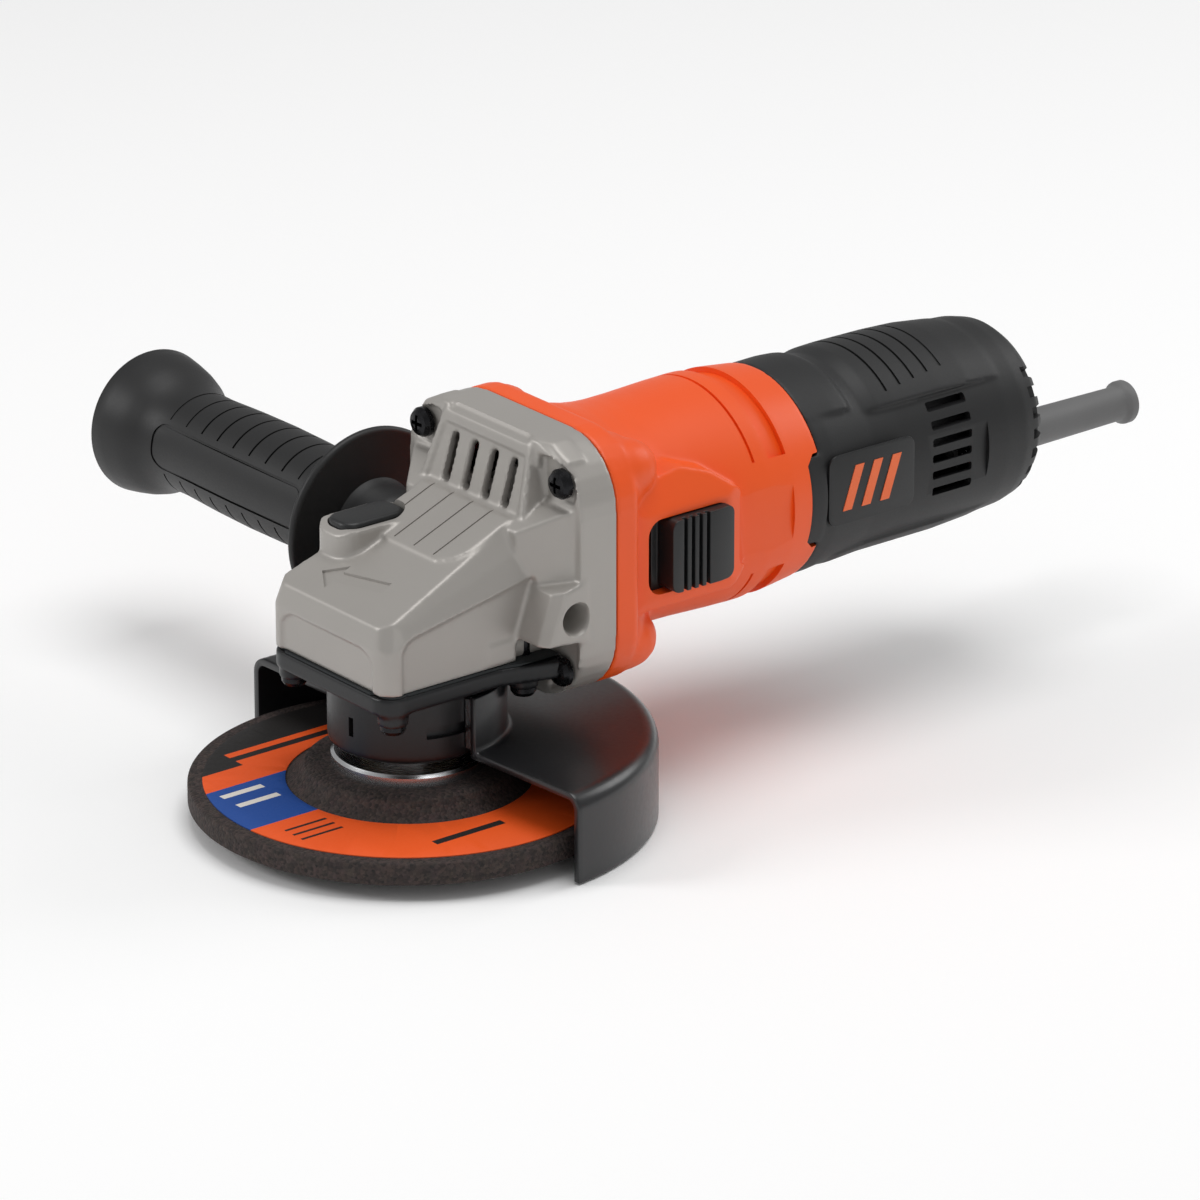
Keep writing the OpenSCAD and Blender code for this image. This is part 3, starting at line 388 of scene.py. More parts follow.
def turnedMetal(name, baseHex, roughness, axis, centre, ridgeMm=0.6):
    # bright steel from the lathe: fine rings about the spindle or motor axis
    material, tree, shader = newMaterial(name, baseHex, roughness, 1.0)
    place = addNode(tree, "ShaderNodeTexCoord").outputs["Object"]
    flat = {"Z": (1, 1, 0), "Y": (1, 0, 1)}[axis]
    shifted = addNode(tree, "ShaderNodeVectorMath", {"operation": "SUBTRACT"}, i0=place)
    shifted.inputs[1].default_value = Vector(centre) * mm
    flattened = addNode(tree, "ShaderNodeVectorMath", {"operation": "MULTIPLY"}, i0=shifted.outputs[0])
    flattened.inputs[1].default_value = flat
    radius = addNode(tree, "ShaderNodeVectorMath", {"operation": "LENGTH"}, i0=flattened.outputs[0])
    rings = addNode(tree, "ShaderNodeTexNoise", {"noise_dimensions": "1D", "Scale": 1000 / ridgeMm,
                                                 "Detail": 2.0}, W=radius.outputs["Value"])
    varyRoughness(tree, shader, roughness - 0.08, roughness + 0.1, rings.outputs["Fac"])
    addRelief(tree, shader, rings.outputs["Fac"], 0.01, strength=0.6)
    return material


def abrasiveGrit():
    # resin-bonded aluminium oxide: dark brown grains of about 0.8 mm, some paler
    material, tree, shader = newMaterial("resinBondedGrit", "#2A2221", 0.82)
    place = addNode(tree, "ShaderNodeTexCoord").outputs["Object"]
    grit = {"grainMm": 0.8, "mottleMm": 2.5, "depthMm": 0.25}
    grains = addNode(tree, "ShaderNodeTexVoronoi", {"Scale": 1000 / grit["grainMm"]}, Vector=place)
    mottle = addNode(tree, "ShaderNodeTexNoise", {"Scale": 1000 / grit["mottleMm"], "Detail": 4.0}, Vector=place)
    tint = addNode(tree, "ShaderNodeValToRGB", None, i0=grains.outputs["Color"])
    tint.color_ramp.elements[0].color = hexColour("#191413")
    tint.color_ramp.elements[1].color = hexColour("#4A3C38")
    tone = addNode(tree, "ShaderNodeMix", {"data_type": "RGBA", "blend_type": "MULTIPLY", "Factor": 0.3})
    tree.links.new(tint.outputs[0], tone.inputs[6])
    tree.links.new(mottle.outputs["Color"], tone.inputs[7])
    tree.links.new(tone.outputs[2], shader.inputs["Base Color"])
    addRelief(tree, shader, grains.outputs["Distance"], grit["depthMm"], invert=True)
    return material


def makeMaterials():
    # name, base, darker tone, roughness, grain and its depth in mm, metallic
    grained = {
        # die-cast aluminium, bead blasted and lacquered: warm grey, satin, very fine grain
        "castAluminium": ("blastedCastAluminium", "#ABA7A2", "#A29E99", 0.42, 0.5, 0.02, 0.35),
        # glass-filled nylon, spark-eroded mould: even fine grain and a soft sheen
        "orangeNylon": ("orangeNylon", "#F2580F", "#EE520B", 0.42, 0.45, 0.018),
        "blackNylon": ("blackNylon", "#151617", "#121213", 0.52, 0.45, 0.02),
        "darkNylon": ("darkNylon", "#161718", "#121314", 0.42, 0.45, 0.015),
        "handleNylon": ("handleNylon", "#151516", "#121213", 0.5, 0.5, 0.02),
        # black coated casting: a little glossier than the nylon
        "blackCasting": ("blackCoatedCasting", "#18191B", "#131416", 0.38, 0.8, 0.02, 0.2),
        "rubber": ("softRubber", "#6E6E6E", "#636363", 0.55, 0.6, 0.03),
        "blackRubber": ("blackRubber", "#262626", "#202020", 0.6, 0.6, 0.03),
        # blackened screw steel: dark with sharp highlights
        "blackSteel": ("blackenedSteel", "#2A2A2C", "#1E1E20", 0.28, 0.8, 0.01, 0.85),
        "hardSteel": ("hardenedSteel", "#8A8B8E", "#77787A", 0.34, 0.8, 0.01, 1.0),
        "brightSteel": ("groundSteel", "#C4C5C7", "#B6B7B9", 0.24, 0.4, 0.006, 1.0),
        "sheets": ("stackedLaminations", "#7C7D80", "#66676A", 0.45, 0.5, 0.03, 0.9),
        "bronze": ("sinteredBronze", "#B08D4A", "#96773C", 0.5, 0.3, 0.02, 0.9),
        "copperWire": ("enamelledWire", "#A85A2A", "#8E4820", 0.35, 0.7, 0.15, 0.5),
        "carbon": ("pressedCarbon", "#2E2E31", "#242427", 0.55, 0.3, 0.03),
        "felt": ("felt", "#8A7F6A", "#776D59", 0.95, 0.4, 0.15),
        "gasket": ("gasketPaper", "#23282A", "#1C2022", 0.8, 0.4, 0.02),
        "yellowCase": ("suppressorCase", "#C9A83A", "#B89830", 0.4, 0.6, 0.02),
        # printed paper on glass-fibre scrim: matt ink over a weave that shows as fine relief
        "inkOrange": ("printedOrange", "#F25B14", "#ED5510", 0.6, 0.9, 0.05),
        "inkBlack": ("printedBlack", "#1A1615", "#14110F", 0.6, 0.9, 0.05),
        "inkBlue": ("printedBlue", "#0F4A9C", "#0D4390", 0.6, 0.9, 0.05),
        "inkPale": ("printedPale", "#E9E4DC", "#DDD6CC", 0.6, 0.9, 0.05),
        "badgeOrange": ("badgeInk", "#F0703A", "#E8642E", 0.45, 0.6, 0.01),
    }
    m = {key: grainedSurface(*values) for key, values in grained.items()}
    # powder coat on pressed steel: semi-gloss with orange peel of about 1.5 mm
    m["guardPaint"] = grainedSurface("powderCoatedSteel", "#1C1C1E", "#171719", 0.32, 1.5, 0.02,
                                     Coat_Weight=0.2, Coat_Roughness=0.2)
    m["lathedSpindle"] = turnedMetal("lathedSteel", "#CDCED0", 0.26, "Z", (0, 0, 0))
    m["lathedShaft"] = turnedMetal("lathedShaft", "#CDCED0", 0.26, "Y", (0, 0, motorZ))
    m["copperBars"] = turnedMetal("commutatorCopper", "#C77B4A", 0.25, "Y", (0, 0, motorZ))
    m["grit"] = abrasiveGrit()
    print("materials made:", len(m))
    return m


def boxOf(node):
    low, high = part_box(node)
    return low / mm, high / mm


shaftLow, shaftHigh = boxOf("armature_shaft")
caseHigh = boxOf("gear_case")[1]
coverLow, coverHigh = boxOf("gear_cover")
rearLow, rearHigh = boxOf("rear_cover")
badgeLow, badgeHigh = boxOf("badge_plate")
buttonLow, buttonHigh = boxOf("switch_button")
lockLow, lockHigh = boxOf("lock_button")
studLow, studHigh = boxOf("handle_stud")
guardLow = boxOf("guard")[0]
wheelLow, wheelHigh = boxOf("grinding_wheel")
labelLow, labelHigh = boxOf("wheel_label")
bootLow, bootHigh = boxOf("strain_relief")
motorZ = (shaftLow.z + shaftHigh.z) / 2
flangeBack = caseHigh.y
flangeFront = flangeBack - 12
gasket = 0.6
tabLength = 4.9  # the rear cover's two tabs reach this far into the motor housing
caseBottom = coverHigh.z + gasket
seamY = rearLow.y + tabLength
handleY = (studLow.y + studHigh.y) / 2
handleZ = (studLow.z + studHigh.z) / 2
bossFace = 36.4  # outer faces of the two handle bosses
flangeOutline = (72, 70, 18, 8)  # width, height, corner and its steps, of case and housing alike
corners = [(sx, sz) for sx in (-1, 1) for sz in (-1, 1)]
coverScrews = [(sx * 21, sy * 21) for sx, sy in corners]
material = makeMaterials()


def nosePlan(half, front, back, corner=6, flare=5.5, waist=10):
    # the head's outline from above: square nose with round corners, widening towards the motor
    right = half - corner
    points = [(half, waist), (half, front + corner)]
    points += [(right + corner * math.cos(math.radians(a)), front + corner + corner * math.sin(math.radians(a)))
               for a in (-15, -30, -45, -60, -75, -90)]
    points += [(-x, y) for x, y in reversed(points)]
    return [(half + flare, back)] + points + [(-half - flare, back)]


def sideShape(name, points, x0, x1):
    # an outline seen from the side, as (y, z), pushed across from x0 to x1
    return extruded(name, [(x0, y, z) for y, z in points], (x1 - x0, 0, 0))


def frontShape(name, points, y0, y1):
    # an outline seen from the front, as (x, z), pushed back from y0 to y1
    return extruded(name, [(x, y0, z) for x, z in points], (0, y1 - y0, 0))


def planShape(name, points, z0, z1):
    # an outline seen from above, as (x, y), pushed up from z0 to z1
    return extruded(name, [(x, y, z0) for x, y in points], (0, 0, z1 - z0))


def turnedAt(name, radius, x, y, low, high, steps=40):
    return shift(turned(name, [(0, low), (radius, low), (radius, high), (0, high)], steps=steps), (x, y, 0))


def rod(name, radius, length, place, steps=32):
    # a plain round tool that runs back along the motor from its place
    return turnedAlong(name, [(0, 0), (radius, 0), (radius, length), (0, length)], place, steps=steps)


def roundedHead(z0, half, front):
    head = planShape("gear_case_shell", nosePlan(half, front, flangeFront + 3), z0, z0 + 42)
    # roof that climbs towards the motor, shoulders beside it, steep bands below them
    slice(head, (0, -25, motorZ - 3.6), (0, -0.4, 1))
    for s in (-1, 1):
        slice(head, (s * 22, -18, motorZ - 0.3), (s * 1.44, -0.24, 1))
        slice(head, (s * 23, 4.3, motorZ + 4), (s * 2.6, -0.2, 1))
        for angle in (22.5, 45, 67.5):
            x, y = s * math.cos(math.radians(angle)), -math.sin(math.radians(angle))
            slice(head, (s * 17 + x * 6.6, -18.2 + y * 6.6, motorZ - 1.5), (x * 3, y * 3, 1))
    slice(head, (0, -25, motorZ - 3.6), (0, -4, 1))
    return head


def ventRamp():
    # the slotted wall that leans back to the top of the flange
    outline = [(-21.6, motorZ + 8), (21.6, motorZ + 8), (21.6, motorZ + 15), (18.6, motorZ + 32),
               (17, motorZ + 34), (-17, motorZ + 34), (-18.6, motorZ + 32), (-21.6, motorZ + 15)]
    ramp = frontShape("ramp", outline, 14, 33)
    slice(ramp, (0, 20, motorZ + 14), (0, -18, 5.5))
    slice(ramp, (0, 26, motorZ + 33.2), (0, -0.4, 1))
    return ramp


def handlePad(s):
    # flat-faced boss round the threaded hole, with a bevelled front
    outline = [(handleY - 10.8, handleZ - 6), (handleY - 6, handleZ + 7.6),
               (flangeFront + 2, handleZ + 9.8), (flangeFront + 2, handleZ - 6.8)]
    pad = sideShape("pad", outline, s * 20, s * bossFace)
    slice(pad, (s * bossFace, handleY - 6.4, handleZ), (s * 0.8, -0.96, 0.34))
    return pad


def screwLug(s, tilt):
    # raised block over an upper screw, kept inside the case's own size
    lug = block("lug", (-7, -4.5, -5), (7, 3, 2.6))
    slice(lug, (0, -4.5, 0.4), (0, -1, 1.1))
    lug.matrix_world = Matrix.Translation(Vector((s * 23, 31, motorZ + 32)) * mm) @ \
        Matrix.Rotation(math.radians(s * tilt), 4, "Y")
    applyPlace(lug)
    slice(lug, (0, 0, caseHigh.z - 0.2), (0, 0, 1))
    slice(lug, (s * (caseHigh.x - 0.3), 0, 0), (s, 0, 0))
    return lug


def makeGearCase():
    case = {"noseHalf": 25.5, "front": -26.5, "panelDepth": 0.9, "voxel": 0.6, "passes": 4, "slots": 4,
            "slotPitch": 8.2, "slotWidth": 3.0, "slotLength": 13.2, "slotLean": -17, "grooveWidth": 0.55,
            "lugTilt": 27, "roofWall": 0.6}
    z0, z1 = caseBottom, motorZ
    half, front, depth = case["noseHalf"], case["front"], case["panelDepth"]
    head = roundedHead(z0, half, front)
    add(head, frontShape("flange", roundedOutline(*flangeOutline, middle=(0, z1)), flangeFront, flangeBack))
    add(head, ventRamp())
    # flanks that widen from the head to the flange, open above for the upper screws
    flank = planShape("flank", [(-23, 17), (23, 17), (34.6, flangeFront + 1), (-34.6, flangeFront + 1)],
                      z0 + 7, z1 + 18.5)
    slice(flank, (0, 17, z1 + 13), (0, -0.6, 1))
    add(head, flank, handlePad(-1), handlePad(1))
    # raised field on the roof that carries the grooves
    field = planShape("field", [(-18.5, 24), (-18.5, 6), (-17, 2), (-13, -0.8), (13, -0.8), (17, 2),
                                (18.5, 6), (18.5, 24)], z1, z1 + 30)
    slice(field, (0, -25, z1 - 2.7), (0, -0.4, 1))
    add(head, field)
    # boss under the lock button
    lockMiddle = (lockLow.x + lockHigh.x) / 2, (lockLow.y + lockHigh.y) / 2
    boss = planShape("lockBoss", roundedOutline(15.4, 24.6, 6, 8, lockMiddle), z1 - 3, z1 + 9.4)
    slice(boss, (lockMiddle[0], lockMiddle[1] - 12.4, z1 + 7.6), (0, -0.6, 1))
    add(head, boss, screwLug(-1, case["lugTilt"]), screwLug(1, case["lugTilt"]))
    # the corner columns stand proud of the walls between them
    cut(head, frontShape("frontPanel", [(-19.6, z0 - 2), (19.6, z0 - 2), (19.6, z0 + 7.6), (17.8, z0 + 10),
                                        (14.6, z0 + 11.4), (-14.6, z0 + 11.4), (-17.8, z0 + 10), (-19.6, z0 + 7.6)],
                         front - 3, front + depth))
    for s in (-1, 1):
        outline = [(-21, z0 - 2), (-21, z0 + 11), (-19.6, z0 + 13.8), (-17, z0 + 15), (8, z0 + 19.8),
                   (21, z0 + 22.4), (21, z0 - 2)]
        cut(head, sideShape("sidePanel", outline, s * (half - depth), s * 40))
        add(head, handlePad(s))
        add(head, block("tab", (min(s * 22, s * 25.1), 7, z0 + 0.4), (max(s * 22, s * 25.1), 16.5, z0 + 6)))
    # pockets round the four flange screws
    screwHigh = boxOf("gear_case_screws")[1]
    screwX, screwZ = screwHigh.x - 4, screwHigh.z - 4 - z1
    for sx in (-1, 1):
        for sz in (-1, 1):
            pocket = turned("pocket", [(0, 0), (5.2, 0), (5.2, 16), (0, 16)], steps=40)
            cut(head, lay(pocket, (0, -1, 0), (sx * screwX, flangeFront + 0.01, z1 + sz * screwZ)))
        upper = [(sx * 21, z1 + 19.4), (sx * 33, z1 + 20.4), (sx * 34, z1 + 24), (sx * 32.4, z1 + 28.5),
                 (sx * 24.4, z1 + 32), (sx * 20, z1 + 31)]
        lower = [(sx * 22.5, z0 - 11), (sx * 34.6, z0 - 9), (sx * 34.6, z0 + 3.8), (sx * 33, z0 + 5.4),
                 (sx * 22.5, z0 + 5.4)]
        cut(head, frontShape("upperPocket", upper, flangeFront - 14, flangeFront + 0.9),
            frontShape("lowerPocket", lower, flangeFront - 12, flangeFront + 0.9))
    # let-in face of the ramp and its slots
    face = frontShape("rampFace", [(-19.4, z1 + 14.8), (19.4, z1 + 14.8), (17, z1 + 30.4), (-17, z1 + 30.4)], 10, 34)
    slice(face, (0, 20.85, z1 + 14), (0, 18, -5.5))
    cut(head, face)
    slotX = [(i - (case["slots"] - 1) / 2) * case["slotPitch"] for i in range(case["slots"])]
    across, along = case["slotWidth"] / 2, case["slotLength"] / 2
    for x in slotX:
        slot = block("slot", (-across, -9, -along), (across, 9, along))
        roundEdges(slot, 0.8, lambda a, b: abs(a.y - b.y) > 1, 3)
        slot.matrix_world = Matrix.Translation(Vector((x, 23, z1 + 22)) * mm) @ \
            Matrix.Rotation(math.radians(case["slotLean"]), 4, "X")
        applyPlace(slot)
        cut(head, slot)
    # hollow inside: gear chamber, room for the lock pin, pinion tunnel, air chamber
    pinLow, pinHigh = boxOf("lock_pin")
    pinX = (pinLow.x + pinHigh.x) / 2
    cut(head, turned("chamber", [(0, z0 - 1), (21.3, z0 - 1), (21.3, z1 - 4), (15.2, z1 - 1.6), (9, z1 + 1),
                                 (0, z1 + 1)]))
    cut(head, turnedAt("pinRoom", 3.5, pinX, 0, z1 - 8, z1 + 1))
    bearingY, fanY, endY = flangeFront - 0.9, flangeFront + 5, flangeBack + 1
    cut(head, turnedAboutMotor("tunnel", [(0, 8), (8, 8), (8, bearingY), (13, bearingY), (13, fanY), (29, fanY),
                                          (29, endY), (0, endY)]))
    cut(head, sideShape("air", [(24, z1 + 15.5), (flangeFront - 0.2, z1 + 29.2), (flangeFront + 6, z1 + 29.2),
                                (flangeFront + 6, z1 + 15.5)], -17, 17))
    castSkin(head, case["voxel"], case["passes"])
    print("gear case skin:", len(head.data.polygons), "faces")
    # crisp machined details after the skin
    cut(head, planShape("well", roundedOutline(11.8, 20.8, 4.6, 8, lockMiddle), z1 + 3.6, z1 + 16))
    cut(head, turnedAt("pinHole", 1.85, pinX, 0, z1 - 8, z1 + 8))
    bushLow, bushHigh = boxOf("top_bush")
    bushEnd, seatEnd = bushHigh.z - 2, bushHigh.z - case["roofWall"]
    cut(head, turned("bushSeat", [(0, z1 - 3.4), (6.06, z1 - 3.4), (6.06, bushEnd + 0.1), (4.6, seatEnd),
                                  (0, seatEnd)]))
    for s in (-1, 1):
        hole = turned("hole", [(0, 0), (4.05, 0), (4.05, 13.2), (4.7, 14), (4.7, 16), (0, 16)], steps=48)
        cut(head, lay(hole, (s, 0, 0), (s * (bossFace - 14), handleY, handleZ)))
    for x in slotX:
        groove = block("groove", (x - 1.5 - case["grooveWidth"], 0.2, z1), (x - 1.5, 20.4, z1 + 30))
        slice(groove, (0, -25, z1 - 3.2), (0, 0.4, -1))
        cut(head, groove)
    # shallow arrow that shows which way the wheel turns
    arrow = planShape("arrow", [(-14, -16.9), (-7.6, -21), (-7.4, -18.4), (9, -15.4), (8.6, -11.6),
                                (-7.8, -14.6), (-8, -12.2)], z1 - 8, z1 + 12)
    slice(arrow, (0, -25, z1 - 4.3), (0, 0.4, -1))
    cut(head, arrow)
    for sx, sz in corners:
        cut(head, rod("screwHole", 2.3, 14, (sx * screwX, flangeFront - 0.5, z1 + sz * screwZ)))
    for x, y in coverScrews:
        cut(head, turnedAt("coverHole", 1.8, x, y, z0 - 1, z0 + 13))
    finished(head, material["castAluminium"], "housing", ["gear_case"], smooth=40)
    # the bush that guides the spindle's upper end
    bush = turned("bush_ring", [(4.05, bushLow.z), (5.7, bushLow.z), (6, bushLow.z + 0.3), (6, bushEnd),
                                (4.05, bushEnd)], steps=64, ring=True)
    finished(bush, material["bronze"], "housing", ["top_bush"])
    print("gear case done:", len(head.data.polygons), "faces")


def makeGearCover():
    cover = {"noseHalf": 25.5, "front": -26.5, "neckRadius": 21.2, "plate": 4.9, "voxel": 0.6, "passes": 6,
             "grooveLow": 13.4, "grooveHigh": 16.6, "grooveSweep": 230}
    top, neck, bottom = coverHigh.z, cover["neckRadius"], coverLow.z
    outline = nosePlan(cover["noseHalf"], cover["front"], flangeFront - 0.1)
    shell = planShape("gear_cover_shell", outline, top - cover["plate"], top)
    add(shell, turned("neck", [(0, bottom), (neck - 0.8, bottom), (neck, bottom + 0.8), (neck, top - 3),
                               (0, top - 3)]))
    for x, y in coverScrews:
        add(shell, turnedAt("boss", 4, x, y, top - cover["plate"] - 3.5, top - 1))
    castSkin(shell, cover["voxel"], cover["passes"])
    cut(shell, turned("bore", [(0, bottom - 1), (12.9, bottom - 1), (12.9, bottom + 2.5), (10, bottom + 2.5),
                               (10, bottom + 6), (16.05, bottom + 6), (16.05, top + 1), (0, top + 1)]))
    # band for the guard's clamp, and a notch in front
    low, high = cover["grooveLow"], cover["grooveHigh"]
    cut(shell, turned("groove", [(neck - 1.6, low), (neck + 1, low), (neck + 1, high), (neck - 1.6, high)],
                      steps=80, sweep=cover["grooveSweep"], start=-25, ring=True))
    cut(shell, block("notch", (2.2, -neck - 2, 12.2), (3.8, -neck + 1.6, 17.4)))
    for x, y in coverScrews:
        cut(shell, turnedAt("hole", 2.1, x, y, top - 12, top + 1))
    finished(shell, material["blackCasting"], "housing", ["gear_cover"], smooth=40)
    print("gear cover done:", len(shell.data.polygons), "faces")


def makeGuard():
    guard = {"sheet": 2.0, "shoulder": 4.5, "radius": 64.4, "top": 8.8, "collar": 25.4, "collarHeight": 23.8,
             "fold": 1.6, "wrap": 178, "start": 4.5, "edge": 0.35}
    t, r, top, low = guard["sheet"], guard["radius"], guard["top"], guardLow.z
    collar, high, bend = guard["collar"], guard["collarHeight"], guard["fold"]
    centre = (r - guard["shoulder"], top - guard["shoulder"])
    outer = arc(centre, guard["shoulder"], 90, 0, 8)
    inner = arc(centre, guard["shoulder"] - t, 0, 90, 8)
    fold = arc((collar + bend, top + bend), bend, 180, 270, 4)
    profile = [(collar - t, top - t), (collar - t, high), (collar, high)] + fold + outer + \
        [(r, low + 2.6), (r, low + 1.2), (r, low), (r - t, low), (r - t, low + 2)] + inner
    shell = turned("guard_shell", profile, steps=140, sweep=guard["wrap"], start=guard["start"], ring=True)
    softBevel(shell, guard["edge"], 2, 40)
    finished(shell, material["guardPaint"], "guard_set", ["guard"], smooth=35)
    print("guard done:", len(shell.data.polygons), "faces")


# straight edges of the printed fields, in mm: places along X, then places along Y
fieldX = (-43, -40.4, -37.8, -35.2, -32, -22.3, -19, -16.8, -12, -9.8, 3.5, 9, 10, 12.5, 13.5, 16, 17, 38, 40.5)
fieldY = (-47, -44, -34, -30, -22, -14, 0, 16)


def inkAt(x, y):
    # which ink a face of the label takes: plain fields and plain bars, no lettering
    dark, orange, blue, pale = range(4)
    if x < -32:
        return orange if (-40.4 < x < -37.8 and -30 < y < 16) or (-35.2 < x and -30 < y) else dark
    if -22.3 < x < 3.5 and y < 0:
        return pale if (-19 < x < -16.8 or -12 < x < -9.8) and -47 < y < -34 else blue
    fine = any(low < x < low + 1 for low in (9, 12.5, 16)) and -47 < y < -34
    return dark if fine or (38 < x < 40.5 and -22 < y < 0) else orange


def makeWheel():
    wheel = {"edge": 0.7, "steps": 180, "labelOuter": 53.6, "labelInner": 32.2}
    r, e, top, b = wheelHigh.x, wheel["edge"], labelLow.z, wheelLow.z
    hub = top - b  # the depressed centre is as thick as the rim
    profile = [(11.6, -hub), (24, -hub), (26.5, -hub - 1.2), (29.5, b), (44, b)] + \
        arc((r - e, b + e), e, 270, 360, 4) + arc((r - e, top - e), e, 0, 90, 4) + \
        [(44, top), (31.8, top), (29.6, top + 1.3), (27.2, -0.8), (25.2, 0), (11.6, 0)]
    disc = turned("wheel_disc", profile, steps=wheel["steps"], ring=True)
    finished(disc, material["grit"], "spindle_set", ["grinding_wheel"], smooth=30)
    # label: one paper ring, coloured in fields by straight cuts across it
    low, high = labelLow.z, labelHigh.z
    outer, inner = wheel["labelOuter"], wheel["labelInner"]
    label = turned("label_ring", [(inner, low), (outer, low), (outer, high - 0.05), (outer - 0.1, high),
                                  (inner + 0.1, high), (inner, high - 0.05)], steps=wheel["steps"], ring=True)
    makeActive(label)
    openMode("EDIT")
    for place, across in [((x, 0, 0), (1, 0, 0)) for x in fieldX] + [((0, y, 0), (0, 1, 0)) for y in fieldY]:
        selectMesh()
        bpy.ops.mesh.bisect(plane_co=Vector(place) * mm, plane_no=across)
    openMode("OBJECT")
    for name in ("inkBlack", "inkOrange", "inkBlue", "inkPale"):
        label.data.materials.append(material[name])
    for face in label.data.polygons:
        face.material_index = inkAt(face.center.x / mm, face.center.y / mm)
    finished(label, None, "spindle_set", ["wheel_label"], smooth=30)
    print("wheel done")


def switchHood(b0, b1):
    # hood round the slide switch, sloping to the front, to the back, above and below
    outline = [(b0 - 11, motorZ - 15), (b0 - 11, motorZ + 19), (b0 + 8, motorZ + 21.5), (b0 + 17, motorZ + 18.5),
               (b1 + 5, motorZ + 12), (b1 + 7, motorZ + 4), (b1 + 7, motorZ - 11), (b1 + 2, motorZ - 15)]
    hood = sideShape("hood", outline, 14, 33.4)
    slice(hood, (33.3, b0 - 6.5, motorZ), (1, -0.22, 0))
    slice(hood, (33.2, b1 + 1, motorZ), (1, 0.3, 0))
    slice(hood, (33.2, b0, motorZ + 12), (1, 0, 0.42))
    slice(hood, (33.2, b0, motorZ - 12), (1, 0, -0.42))
    return hood


def makeMotorHousing():
    shell = {"voxel": 0.6, "passes": 6, "ring": 8.0, "groove": 52.0, "grooveWidth": 0.9, "grooveDepth": 0.5,
             "band": 57.5, "bandWidth": 6.0, "bandDepth": 1.5, "bandSweep": 116, "screwX": 29, "screwZ": 25.7}
    y0, y1 = flangeBack, seamY
    b0, b1 = buttonLow.y + 2, buttonHigh.y - 2
    waist = [(0, 6), (33, 6), (32.4, 12), (31.2, 17), (30.5, 22), (30.2, 27), (30.3, 35), (30.8, 47), (31.0, 56),
             (30.6, 64), (29.9, 70)]
    body = turnedAboutMotor("motor_housing_shell", [(r, y0 + y) for r, y in waist] + [(29.3, y1), (0, y1)], steps=128)
    ringEnd = y0 + shell["ring"]
    ring = frontShape("ring", roundedOutline(*flangeOutline, middle=(0, motorZ)), y0, ringEnd)
    roundEdges(ring, 2.4, lambda a, b: a.y > ringEnd - 0.1 and b.y > ringEnd - 0.1, 4)
    add(body, ring)
    # corners that ease the square ring down to the waist, and lobes round the ends of the long screws
    ease = [(0, 0), (12.6, 0), (11.4, 4), (8.6, 8.5), (4.6, 12.5), (0, 15)]
    lobe = [(0, 0), (8.3, 0), (8.3, 7), (7.8, 10.2), (6.4, 13), (3.8, 15.2), (0, 16)]
    for sx, sz in corners:
        add(body, turnedAlong("ease", ease, (sx * 22, y0 + 6, motorZ + sz * 21), steps=40))
    for sx, sz in corners:
        add(body, turnedAlong("lobe", lobe, (sx * 25.5, y0 + 3, motorZ + sz * 23.2), steps=48))
    add(body, switchHood(b0, b1))
    castSkin(body, shell["voxel"], shell["passes"])
    # a fine line and a sunk band over the top and under the belly
    lines = ((shell["groove"], shell["grooveWidth"], shell["grooveDepth"]),
             (shell["band"], shell["bandWidth"], shell["bandDepth"]))
    for start in (-146, 30):
        for first, width, deep in lines:
            near, far = y0 + first, y0 + first + width
            profile = [(30.9 - deep, near), (34, near), (34, far), (30.6 - deep, far)]
            cut(body, turnedAboutMotor("band", profile, steps=90, sweep=shell["bandSweep"], start=start, ring=True))
    # let-in panels behind the switch, on both sides
    for s in (-1, 1):
        outline = roundedOutline(20, 22, 3, 5, (b1 + 14.5, motorZ + 1))
        cut(body, sideShape("panel", outline, s * 29.7, s * 38))
    # inside: round bore, bay and window for the switch slide, steps for the rear cover's tabs
    cut(body, turnedAboutMotor("bore", [(0, y0 - 1), (29, y0 - 1), (29, y0 + 15), (27.3, y0 + 15), (27.3, y1 + 1),
                                        (0, y1 + 1)], steps=128))
    cut(body, block("bay", (24.8, b0 - 7.5, motorZ - 10.4), (27.8, b1 + 8, motorZ + 10.4)))
    opening = roundedOutline(b1 - b0 + 6.2, buttonHigh.z - buttonLow.z - 4.4, 4.4, 6, ((b0 + b1) / 2 - 2.6, motorZ))
    cut(body, sideShape("window", opening, 28, 40))
    notch = [(-5, -10.6), (-2.4, -13.1), (1, -13.1), (1, 13.1), (-2.4, 13.1), (-5, 10.6)]
    for s in (-1, 1):
        cut(body, sideShape("step", [(y1 + y, motorZ + z) for y, z in notch], s * 15, s * 40))
    screwLength = boxOf("gear_case_screws")[1].y - y0 + 1.4
    for sx, sz in corners:
        place = (sx * shell["screwX"], y0 - 1, motorZ + sz * shell["screwZ"])
        cut(body, rod("hole", 2.05, screwLength, place))
    finished(body, material["orangeNylon"], "housing", ["motor_housing"], smooth=40)
    print("motor housing done:", len(body.data.polygons), "faces")


def overTop(name, profile, sweep, turn):
    # a ring sector about the motor axis, centred over the top (turn 0) or under the belly (turn 180)
    sector = turned(name, profile, steps=60, sweep=sweep, start=turn - 90 - sweep / 2, ring=True)
    return lay(sector, (0, 1, 0), (0, seamY, motorZ))


